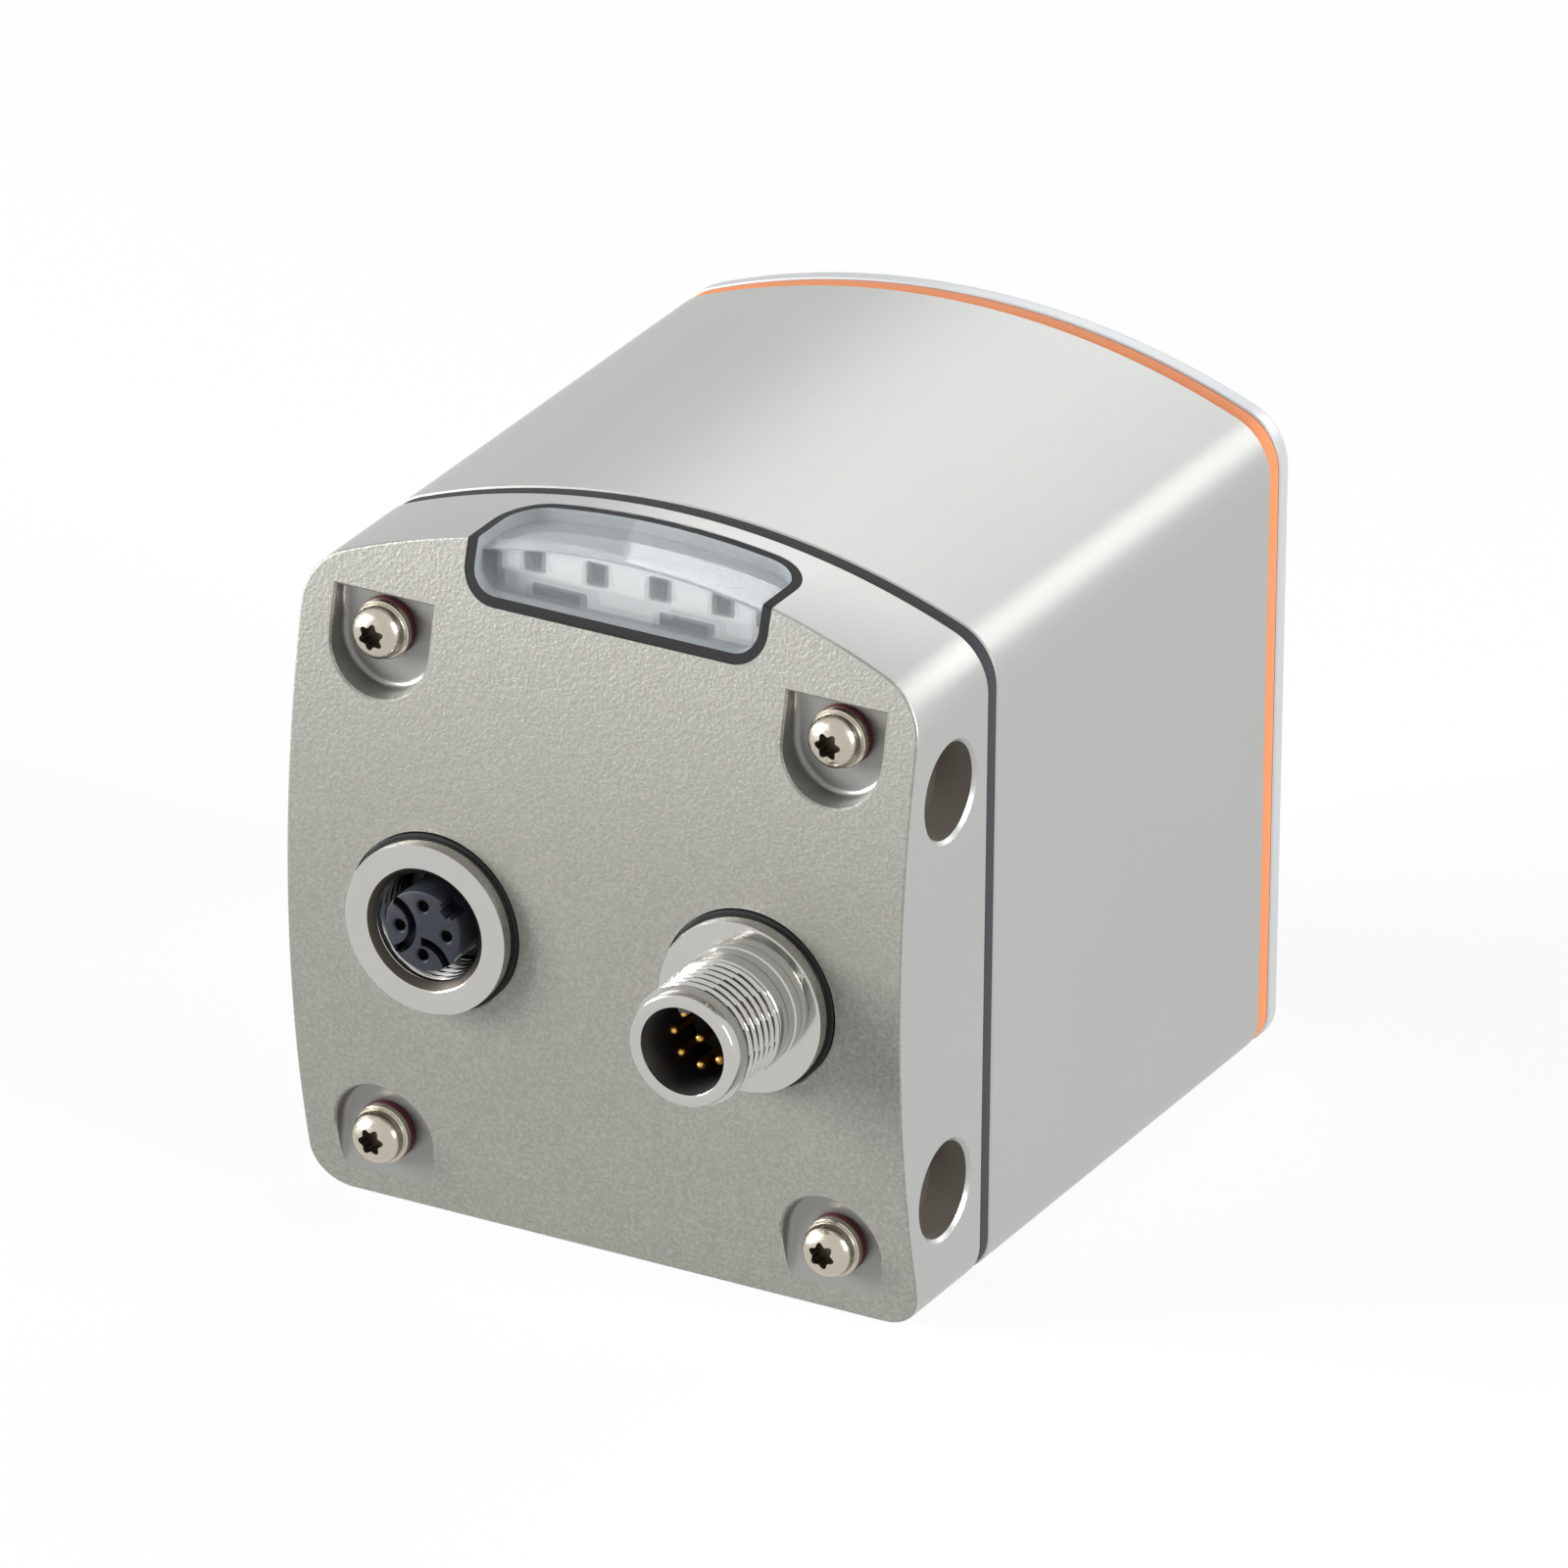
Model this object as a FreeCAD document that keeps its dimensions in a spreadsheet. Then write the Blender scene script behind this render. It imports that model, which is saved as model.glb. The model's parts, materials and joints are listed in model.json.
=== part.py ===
"""Depth vision sensor: arched housing, domed rear cover with two round connectors, optics and boards.

Frame: +X to the right seen from the connector side, +Y towards the scene that the sensor looks at,
+Z up. The origin is the middle of the flat base under the main housing. Millimetres throughout.
"""
import FreeCAD, Part
import math
import os
import re

import Sketcher

# Driving sizes: name, value in millimetres or degrees, what it is.
SIZES = [
    ("body_width", 65.3, "housing, side to side"),
    ("body_height", 71.9, "housing, base to the crown of its arched top"),
    ("top_radius", 78.8, "radius of the arched top"),
    ("shoulder_radius", 6.0, "corner between a side and the arched top"),
    ("foot_radius", 4.1, "corner between a side and the flat base"),
    ("least_radius", 0.4, "smallest corner radius of an inset outline"),
    ("housing_length", 54.5, "main housing, rear end to front end"),
    ("wall", 3.2, "wall of the main housing"),
    ("bulkhead", 4.0, "front wall of the main housing"),
    ("gasket_thickness", 1.75, "gasket between housing and rear cover"),
    ("gasket_inset", 0.25, "gasket edge, below the housing's surface"),
    ("seal_thickness", 2.0, "front seal ring"),
    ("seal_width", 4.0, "front seal ring, outer to inner edge"),
    ("fit", 0.1, "clearance between pieces that drop into one another"),
    ("overcut", 5.0, "reach of the cutting tools beyond the part"),
    ("front_cover_thickness", 2.05, "front cover's visible plate"),
    ("front_edge_radius", 0.7, "rounded rim of the front cover"),
    ("cover_depth", 16.5, "rear cover, from the gasket to the apex of its dome"),
    ("dome_radius", 122.7, "radius of the rear cover's domed face"),
    ("dome_height", 35.6, "height of the dome's axis above the base"),
    ("cover_wall", 3.4, "rear cover's wall behind the dome"),
    ("cover_edge_radius", 0.45, "rounded edge round the domed face"),
    ("screw_side", 8.49, "rear screws, in from the sides"),
    ("screw_top", 12.2, "upper rear screws, below the crown"),
    ("screw_low", 7.6, "lower rear screws above the base"),
    ("screw_diameter", 3.0, "thread of the rear screws"),
    ("screw_hole", 3.4, "clearance holes for the rear screws"),
    ("screw_grip", 6.0, "rear screws' engagement in the housing"),
    ("post_radius", 5.4, "screw posts in the housing"),
    ("post_length", 12.0, "screw posts in the housing"),
    ("head_diameter", 5.2, "rear screws' pan head"),
    ("head_height", 2.0, "rear screws' pan head"),
    ("drive_size", 1.35, "recess in the rear screws' head, centre to corner"),
    ("drive_depth", 1.3, "recess in the rear screws' head"),
    ("collar_diameter", 5.8, "washer face under the rear screws' head"),
    ("collar_height", 0.8, "washer face under the rear screws' head"),
    ("washer_diameter", 6.0, "red sealing washers"),
    ("washer_thickness", 0.8, "red sealing washers"),
    ("recess_height", 12.03, "recess floors, above the rear cover's front plane"),
    ("recess_radius", 5.15, "rounded end of a screw recess"),
    ("recess_shift", 0.21, "recesses' middle, in from the screws"),
    ("recess_drop", 1.15, "centre of the upper rounded ends, below the screws"),
    ("recess_rise", 0.15, "centre of the lower rounded ends, above the screws"),
    ("recess_end", 5.2, "upper recesses, from that centre to their flat end"),
    ("recess_draft_angle", 3.0, "draft of the recess walls, degrees"),
    ("recess_fillet", 0.7, "fillet round the recess floors"),
    ("side_hole_diameter", 9.5, "blind mounting holes in the rear cover's sides"),
    ("side_hole_depth", 4.0, "blind mounting holes, depth"),
    ("side_hole_chamfer", 0.35, "chamfer at the mounting holes' mouth"),
    ("side_hole_set", 7.2, "mounting holes, behind the cover's front plane"),
    ("side_hole_top", 18.15, "upper mounting holes, below the crown"),
    ("side_hole_low", 12.9, "lower mounting holes above the base"),
    ("cavity_screw_gap", 6.16, "rear cover's inner space, in from the screws"),
    ("cavity_side", 4.05, "rear cover's side walls between the mounting holes"),
    ("cavity_bottom", 4.5, "rear cover's inner space, lower end"),
    ("cavity_drop", 10.9, "rear cover's inner space, below the crown"),
    ("nut_room", 0.3, "space round the connector nuts"),
    ("connector_side", 15.89, "connectors, in from the sides"),
    ("connector_height", 32.58, "connectors above the base"),
    ("flange_stand", 1.985, "flange faces, behind the dome's apex"),
    ("flange_diameter", 17.2, "connector flanges"),
    ("flange_thickness", 1.9, "connector flanges"),
    ("flange_edge", 0.25, "chamfer of the flanges' outer edge"),
    ("ring_diameter", 17.9, "black seals under the flanges"),
    ("ring_thickness", 0.7, "black seals under the flanges"),
    ("spot_diameter", 18.2, "flat seats of the seals on the cover"),
    ("connector_wall", 3.7, "cover's wall between seat and inner nut"),
    ("neck_diameter", 16.0, "connector bodies, through the cover"),
    ("neck_hole", 16.2, "holes for the connector bodies"),
    ("nut_width", 20.0, "connector nuts, across the flats"),
    ("nut_thickness", 3.0, "connector nuts"),
    ("thread_diameter", 12.0, "connector coupling thread"),
    ("plug_length", 10.755, "plug, flange face to tip"),
    ("plug_tip_diameter", 11.2, "plug's unthreaded tip"),
    ("plug_tip_length", 1.5, "plug's unthreaded tip"),
    ("plug_chamfer", 0.3, "start of the plug's thread"),
    ("plug_bore", 8.65, "plug's bore"),
    ("plug_core_depth", 8.9, "plug's inner face, inside the tip"),
    ("plug_key_height", 0.7, "coding key in the plug's bore"),
    ("plug_key_width", 1.3, "coding key in the plug's bore"),
    ("key_angle", 92.7, "coding key, from +X towards +Z"),
    ("pin_depth", 3.0, "pin tips, inside the plug's tip"),
    ("pin_diameter", 1.0, "plug's pins"),
    ("pin_circle", 5.5, "circle of the plug's outer pins"),
    ("pin_step_angle", 48.0, "angle between the plug's outer pins"),
    ("socket_minor", 10.9, "socket's bore inside its thread"),
    ("socket_entry", 12.5, "socket's chamfered mouth"),
    ("socket_depth", 8.5, "socket's annular space"),
    ("core_diameter", 8.1, "socket's insert"),
    ("core_stand", 0.2, "socket's insert, behind the flange face"),
    ("contact_circle", 5.0, "circle of the socket's contacts"),
    ("contact_hole", 1.15, "openings of the socket's contacts"),
    ("notch_set", 2.75, "socket's key notch, across and up from its middle"),
    ("notch_width", 1.6, "socket's key notch"),
    ("notch_depth", 3.0, "socket's key notch"),
    ("contact_diameter", 1.7, "socket's contacts"),
    ("contact_set", 1.2, "socket's contacts, below the insert's face"),
    ("connector_tail", 3.2, "from the nuts to the connector board"),
    ("connector_board_gap", 3.6, "connector board, to the cover's side walls"),
    ("connector_board_room", 3.3, "space above and below the connector board"),
    ("connector_board_height", 22.0, "connector board"),
    ("board_thickness", 1.6, "circuit boards"),
    ("window_half_width", 16.05, "indicator gasket, middle to side"),
    ("window_drop", 7.5, "indicator gasket's lower edge, below the crown"),
    ("window_front", 2.3, "indicator gasket's far edge, behind the cover's front plane"),
    ("window_low_corner", 3.5, "indicator gasket's lower corners"),
    ("window_high_corner", 4.5, "indicator gasket's far corners on the top"),
    ("window_rim", 1.0, "indicator gasket, outer to inner edge"),
    ("window_depth", 1.4, "indicator window's thickness"),
    ("window_ledge", 0.4, "ledge that the indicator window rests on"),
    ("pocket_roof", 2.5, "cover's wall above the indicator space"),
    ("holder_set", 0.6, "indicator holder's upper edge, inside the window"),
    ("pocket_gap", 0.45, "space between the indicator holder's face and the cover"),
    ("holder_depth_low", 8.9, "indicator holder's lower end, below the crown"),
    ("holder_depth_high", 2.7, "indicator holder's upper end, below the crown"),
    ("holder_gap", 1.2, "indicator holder, to the sides of its space"),
    ("lamp_pitch", 6.65, "indicator lamps, middle to middle"),
    ("lamp_drop", 3.8, "indicator lamps, below the crown"),
    ("lamp_thickness", 0.7, "indicator lamps"),
    ("slot_width", 1.7, "slots before the indicator lamps"),
    ("slot_height", 1.5, "slots before the indicator lamps"),
    ("lens_drop", 12.45, "optical axis, below mid-height"),
    ("barrel_radius", 7.0, "lens barrel"),
    ("barrel_length", 17.75, "lens barrel"),
    ("barrel_bore", 5.0, "lens barrel's rear bore, radius"),
    ("barrel_mouth", 5.8, "lens barrel's front bore, radius"),
    ("mouth_depth", 7.0, "lens barrel's front bore, depth"),
    ("front_lens_edge", 3.0, "front lens, thickness at its edge"),
    ("front_lens_rise", 1.6, "front lens, rise of its curved face"),
    ("retainer_thickness", 1.5, "ring that holds the front lens"),
    ("retainer_bore", 4.8, "ring that holds the front lens, inner radius"),
    ("rear_lens_thickness", 3.0, "rear lens"),
    ("rear_lens_set", 1.25, "rear lens, before the barrel's rear end"),
    ("holder_length", 16.4, "lens holder"),
    ("holder_plate", 3.0, "lens holder's plate"),
    ("holder_width", 26.0, "lens holder's plate"),
    ("holder_tube", 9.0, "lens holder's tube, radius"),
    ("holder_step", 3.4, "lens holder's rear step, which the barrel seats on"),
    ("filter_radius", 6.0, "band-pass filter"),
    ("filter_thickness", 0.7, "band-pass filter"),
    ("pillar_radius", 2.4, "lens holder's pillars"),
    ("pillar_pitch", 23.0, "lens holder's pillars, middle to middle"),
    ("imager_board_width", 29.0, "imager board"),
    ("imager_width", 8.6, "imager"),
    ("imager_height", 6.8, "imager"),
    ("imager_thickness", 1.0, "imager"),
    ("imager_gap", 6.0, "from the imager board to the processor board"),
    ("small_screw", 2.0, "thread of the small inner screws"),
    ("small_head", 3.8, "head of the small inner screws"),
    ("small_head_height", 1.4, "head of the small inner screws"),
    ("small_grip", 2.4, "small inner screws' engagement in the bulkhead"),
    ("lamp_board_lift", 10.25, "illumination's middle, above mid-height"),
    ("port_margin", 6.0, "illumination's port, in from the front cover's opening"),
    ("port_height", 11.0, "illumination's port in the bulkhead"),
    ("lamp_board_lap", 5.0, "illumination board, beyond the port's sides"),
    ("lamp_board_rise", 14.0, "illumination board's height"),
    ("lamp_screw_set", 2.5, "illumination screws, from the board's sides"),
    ("lamp_screw_rise", 9.0, "illumination screws, one above the other"),
    ("spreader_thickness", 3.0, "illumination's heat spreader"),
    ("emitter_set", 4.1, "outer emitters, in from the port's sides"),
    ("emitter_share", 0.65, "emitters, share of the cups' narrow end"),
    ("emitter_thickness", 0.8, "emitters"),
    ("cup_wall", 0.40, "half the wall between the reflector cups"),
    ("cup_narrowing", 0.59, "reflector cups, share of the mouth at the emitters"),
    ("diffuser_thickness", 0.8, "diffuser over the reflector"),
    ("diffuser_lap", 1.5, "diffuser, beyond the port"),
    ("glass_side", 10.65, "front glass, in from the cover's sides"),
    ("glass_bottom", 6.0, "front glass, lower edge"),
    ("glass_drop", 7.9, "front glass, upper edge below the crown"),
    ("glass_thickness", 1.5, "front glass"),
    ("glass_corner", 3.0, "front glass, corner radius"),
    ("bond_thickness", 0.3, "adhesive under the front glass"),
    ("bond_width", 2.0, "adhesive under the front glass"),
    ("baffle_thickness", 2.4, "light baffle between emitters and lens"),
    ("front_screw_side", 7.35, "front cover's screws, in from the sides"),
    ("front_screw_top", 22.9, "front cover's upper screws, below the crown"),
    ("front_screw_low", 16.5, "front cover's lower screws above the base"),
    ("front_screw_grip", 3.2, "front cover's screws, engagement in it"),
    ("board_clearance", 3.45, "main boards, to the housing's walls"),
    ("board_drop", 8.5, "main boards, below the housing's inner crown"),
    ("board_hole_set", 3.0, "main boards' holes, from their edges"),
    ("board_screw", 2.5, "thread of the boards' screws"),
    ("board_head", 4.4, "head of the boards' screws"),
    ("board_head_height", 1.1, "head of the boards' screws"),
    ("standoff_width", 5.0, "standoffs, across the flats"),
    ("stud_length", 2.5, "standoffs' studs in the bulkhead"),
    ("spacer_length", 8.0, "spacers between the main boards"),
    ("spacer_radius", 2.4, "spacers between the main boards"),
    ("chip_width", 17.0, "processor"),
    ("chip_thickness", 1.8, "processor"),
    ("pad_thickness", 1.0, "thermal pads"),
    ("bridge_width", 20.0, "heat bridge"),
    ("bridge_thickness", 2.0, "heat bridge"),
    ("memory_width", 8.0, "memory chips"),
    ("memory_height", 11.0, "memory chips"),
    ("memory_thickness", 1.1, "memory chips"),
    ("memory_set", 9.0, "memory chips' middle, from the board's sides"),
    ("capacitor_radius", 4.0, "buffer capacitors"),
    ("capacitor_length", 10.0, "buffer capacitors"),
    ("capacitor_set", 13.0, "buffer capacitors' middle, from the board's sides"),
    ("magnetics_width", 14.0, "network transformer"),
    ("magnetics_depth", 6.0, "network transformer"),
    ("magnetics_height", 10.0, "network transformer"),
    ("ribbon_width", 12.0, "ribbon between connector board and power board"),
    ("ribbon_thickness", 0.4, "ribbons"),
    ("lamp_ribbon_width", 8.0, "ribbon to the indicator board"),
    ("header_width", 15.0, "headers of the ribbon"),
    ("header_depth", 3.0, "headers of the ribbon"),
    ("header_height", 4.0, "headers of the ribbon"),
]
VALUE = {name: value for name, value, note in SIZES}

# Planes along Y and rows along Z that several pieces share, as formulas of the sizes above.
HOUSING_REAR = "(-housing_length / 2)"
HOUSING_FRONT = "(housing_length / 2)"
COVER_FRONT = f"({HOUSING_REAR} - gasket_thickness)"
COVER_APEX = f"({COVER_FRONT} - cover_depth)"
DOME_AXIS = f"({COVER_APEX} + dome_radius)"
RECESS_FLOOR = f"({COVER_FRONT} - recess_height)"
FLANGE_FACE = f"({COVER_APEX} - flange_stand)"
FLANGE_BACK = f"({FLANGE_FACE} + flange_thickness)"
SPOT_FACE = f"({FLANGE_BACK} + ring_thickness)"
NUT_SEAT = f"({SPOT_FACE} + connector_wall)"
NUT_END = f"({NUT_SEAT} + nut_thickness)"
TAIL_BOARD = f"({NUT_END} + connector_tail)"
TAIL_BOARD_FRONT = f"({TAIL_BOARD} + board_thickness)"
PLUG_TIP = f"({FLANGE_FACE} - plug_length)"
PLUG_CORE = f"({PLUG_TIP} + plug_core_depth)"
CORE_FACE = f"({FLANGE_FACE} - core_stand)"
WINDOW_EDGE = f"({COVER_FRONT} - window_front)"
HOLDER_TOP = "(body_height - holder_depth_high)"
HOLDER_BOTTOM = "(body_height - holder_depth_low)"
HOLDER_FACE = (f"({DOME_AXIS} - sqrt((dome_radius - window_depth) ^ 2 - ({HOLDER_TOP} - dome_height) ^ 2)"
               " + holder_set)")
HOLDER_POCKET = f"({HOLDER_FACE} - pocket_gap)"
HOLDER_BACK = f"({TAIL_BOARD_FRONT} + ribbon_thickness)"
POCKET_TOP = "(body_height - pocket_roof)"
SEAL_FRONT = f"({HOUSING_FRONT} + seal_thickness)"
FACE = f"({SEAL_FRONT} + front_cover_thickness)"
GLASS_REAR = f"({FACE} - fit - glass_thickness)"
BOND_REAR = f"({GLASS_REAR} - bond_thickness)"
BULKHEAD_REAR = f"({HOUSING_FRONT} - bulkhead)"
BARREL_REAR = f"({BULKHEAD_REAR} - holder_length + holder_step)"
BARREL_FRONT = f"({BARREL_REAR} + barrel_length)"
IMAGER_BOARD_FRONT = f"({BULKHEAD_REAR} - holder_length)"
IMAGER_BOARD_REAR = f"({IMAGER_BOARD_FRONT} - board_thickness)"
PROCESSOR_FRONT = f"({IMAGER_BOARD_REAR} - imager_gap)"
PROCESSOR_REAR = f"({PROCESSOR_FRONT} - board_thickness)"
POWER_FRONT = f"({PROCESSOR_REAR} - spacer_length)"
POWER_REAR = f"({POWER_FRONT} - board_thickness)"
LAMP_BOARD_REAR = f"({BULKHEAD_REAR} - board_thickness)"
SPREADER_REAR = f"({LAMP_BOARD_REAR} - spreader_thickness)"
BOARD_BOTTOM = "(wall + board_clearance)"
BOARD_TOP = "(body_height - wall - board_drop)"
BOARD_HALF = "(body_width / 2 - wall - board_clearance)"

# Places of the fasteners: X and Z formulas.
SIDES = (1, -1)
SCREW_X = "(body_width / 2 - screw_side)"
SCREW_HIGH = "(body_height - screw_top)"
SIDE_HOLE_HIGH = "(body_height - side_hole_top)"
CAVITY_TOP = "(body_height - cavity_drop)"
CAVITY_HALF = f"({SCREW_X} - cavity_screw_gap)"
SPAN_HALF = "(body_width / 2 - cavity_side)"
SPAN_BOTTOM = "(connector_height - connector_board_height / 2 - connector_board_room)"
SPAN_TOP = "(connector_height + connector_board_height / 2 + connector_board_room)"
WINDOW_HALF = "window_half_width"
WINDOW_BOTTOM = "(body_height - window_drop)"
LAMP_HEIGHT = "(body_height - lamp_drop)"
LENS_HEIGHT = "(body_height / 2 - lens_drop)"
EMITTER_HEIGHT = "(body_height / 2 + lamp_board_lift)"
GLASS_HALF = "(body_width / 2 - glass_side)"
PORT_WIDTH = f"(2 * ({GLASS_HALF} - bond_width - port_margin))"
LAMP_BOARD_WIDTH = f"({PORT_WIDTH} + 2 * lamp_board_lap)"
LAMP_SCREW_SPAN = f"({LAMP_BOARD_WIDTH} - 2 * lamp_screw_set)"
GLASS_TOP = "(body_height - glass_drop)"
FRONT_SCREW_X = "(body_width / 2 - front_screw_side)"
FRONT_SCREW_HIGH = "(body_height - front_screw_top)"
MEMORY_X = f"({BOARD_HALF} - memory_set)"
CAPACITOR_X = f"({BOARD_HALF} - capacitor_set)"
REAR_SCREWS = [(f"({side} * {SCREW_X})", row) for row in (SCREW_HIGH, "screw_low") for side in SIDES]
FRONT_SCREWS = [(f"({side} * {FRONT_SCREW_X})", row)
                for row in (FRONT_SCREW_HIGH, "front_screw_low") for side in SIDES]
BOARD_SCREWS = [(f"({side} * ({BOARD_HALF} - board_hole_set))", row)
                for row in (f"({BOARD_TOP} - board_hole_set)", f"({BOARD_BOTTOM} + board_hole_set)")
                for side in SIDES]
HOLDER_SCREWS = [(f"({side} * pillar_pitch / 2)", f"({LENS_HEIGHT} + {level} * pillar_pitch / 2)")
                 for level in SIDES for side in SIDES]
HOLDER_SCREWS_PLATE = [(f"({side} * (holder_width / 2 - small_screw))", LENS_HEIGHT) for side in SIDES]
LAMP_SCREWS = [(f"({side} * {LAMP_SCREW_SPAN} / 2)", f"({EMITTER_HEIGHT} + {level} * lamp_screw_rise / 2)")
               for level in SIDES for side in SIDES]
LAMPS = [f"({number} * lamp_pitch / 2)" for number in range(-3, 4, 2)]
EMITTER_PITCH = f"(({PORT_WIDTH} - 2 * emitter_set) / 3)"
CUP_RADIUS = f"({EMITTER_PITCH} / 2 - cup_wall)"
EMITTERS = [f"({number} * {EMITTER_PITCH} / 2)" for number in range(-3, 4, 2)]
PLUG_X = "(body_width / 2 - connector_side)"
SOCKET_X = "(connector_side - body_width / 2)"
PIN_NUMBERS = range(7)
MIDDLE_PIN = 3
# Crown of the rear screws' heads: shares of the diameter and of the height.
HEAD_CROWN = ((0.27, 0), (0.41, 0.25), (0.48, 0.55), (0.5, 0.85))
# Front lens: shares of its radius and of its rise.
LENS_CROWN = ((0.8, 0.45), (0.45, 0.85))
# An edge is along an axis when nearly all of its length is, and two places agree within a hundredth.
STRAIGHT = 0.99
NEAR = 0.01
CONTACT_ANGLES = (0, 90, 180, 270)

document = FreeCAD.newDocument("DepthVisionSensor")
sheet = document.addObject("Spreadsheet::Sheet", "Sizes")
for row_number, (size_name, size_value, size_note) in enumerate(SIZES, start=1):
    sheet.set(f"A{row_number}", size_name)
    sheet.set(f"B{row_number}", str(size_value))
    sheet.set(f"C{row_number}", size_note)
    sheet.setAlias(f"B{row_number}", size_name)
working = document.addObject("Spreadsheet::Sheet", "Working")
document.recompute()

ALONG_Y = FreeCAD.Rotation(FreeCAD.Vector(1, 0, 0), -90)
ALONG_X = FreeCAD.Rotation(FreeCAD.Vector(0, 1, 0), 90)
nodes = []
known = {}


def formula(text):
    """The formula with each size's name pointing at the sheet."""
    return re.sub(r"[a-z_]{3,}", lambda word: f"Sizes.{word.group()}" if word.group() in VALUE
                  else word.group(), str(text))


def bind(item, **places):
    """Bind properties to formulas; x, y and z stand for the item's position."""
    for key, text in places.items():
        path = f"Placement.Base.{key}" if key in ("x", "y", "z") else key
        item.setExpression(path, formula(text))
    return item


def node(label, item):
    """Name a finished piece and keep it for export."""
    item.Label = label
    nodes.append(item)
    return item


def block(x, y, z, width, depth, height):
    """Box from its lower left rear corner."""
    item = document.addObject("Part::Box", "Block")
    return bind(item, x=x, y=y, z=z, Length=width, Width=depth, Height=height)


def centred(y, z, width, depth, height, x="0"):
    """Box that is centred on X and Z and starts at Y."""
    return block(f"{x} - ({width}) / 2", y, f"{z} - ({height}) / 2", width, depth, height)


def rod(x, y, z, radius, length):
    """Cylinder that starts at Y and runs forward."""
    item = document.addObject("Part::Cylinder", "Rod")
    item.Placement = FreeCAD.Placement(FreeCAD.Vector(), ALONG_Y)
    return bind(item, x=x, y=y, z=z, Radius=radius, Height=length)


def cross_rod(x, y, z, radius, length):
    """Cylinder that starts at X and runs to the right."""
    item = document.addObject("Part::Cylinder", "CrossRod")
    item.Placement = FreeCAD.Placement(FreeCAD.Vector(), ALONG_X)
    return bind(item, x=x, y=y, z=z, Radius=radius, Height=length)


def cone(x, y, z, start_radius, end_radius, length, rotation=ALONG_Y):
    """Cone that starts at its first radius and runs along the rotation's direction."""
    item = document.addObject("Part::Cone", "Cone")
    item.Placement = FreeCAD.Placement(FreeCAD.Vector(), rotation)
    return bind(item, x=x, y=y, z=z, Radius1=start_radius, Radius2=end_radius, Height=length)


def hexagon(x, y, z, corner_radius, length):
    """Six-sided bar that starts at Y and runs forward."""
    item = document.addObject("Part::Prism", "Hexagon")
    item.Polygon = 6
    item.Placement = FreeCAD.Placement(FreeCAD.Vector(), ALONG_Y)
    return bind(item, x=x, y=y, z=z, Circumradius=corner_radius, Height=length)


def joined(items):
    """One solid from pieces that meet; a single piece is returned as it is."""
    if len(items) == 1:
        return items[0]
    item = document.addObject("Part::MultiFuse", "Joined")
    item.Shapes = items
    return item


def cut(base, tools):
    """The base without its tools."""
    item = document.addObject("Part::Cut", "Cut")
    item.Base = base
    item.Tool = joined(tools)
    return item


def common(first, second):
    """What two solids share."""
    item = document.addObject("Part::Common", "Common")
    item.Base = first
    item.Tool = second
    return item


def group(items):
    """Like pieces that share one node as separate solids."""
    item = document.addObject("Part::Compound", "Group")
    item.Links = items
    return item


def new_body(name, x="0", y="0", z="0"):
    """Empty body at a place."""
    return bind(document.addObject("PartDesign::Body", name), x=x, y=y, z=z)


def new_sketch(body, plane):
    """Sketch on one of the body's own origin planes."""
    sketch = body.newObject("Sketcher::SketchObject", "Profile")
    origin_plane = [feature for feature in body.Origin.OriginFeatures if feature.Role == plane][0]
    sketch.AttachmentSupport = (origin_plane, "")
    sketch.MapMode = "FlatFace"
    return sketch


def hold(sketch, constraint, text=None):
    """Add a constraint and bind its value to a formula."""
    index = sketch.addConstraint(constraint)
    if text is not None:
        sketch.setExpression(f"Constraints[{index}]", formula(text))


def rounded_edges(item, radius, chosen):
    """Fillet the edges that a test on the edge picks."""
    document.recompute()
    picked = [number for number, edge in enumerate(item.Shape.Edges, start=1) if chosen(edge)]
    fillet = document.addObject("Part::Fillet", "Rounded")
    fillet.Base = item
    fillet.Edges = [(number, radius, radius) for number in picked]
    return fillet


def runs_along(edge, axis):
    """Whether an edge is straight and runs along axis 0, 1 or 2."""
    span = edge.BoundBox
    lengths = [span.XLength, span.YLength, span.ZLength]
    return lengths[axis] > STRAIGHT * edge.Length and edge.Length > NEAR


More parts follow.
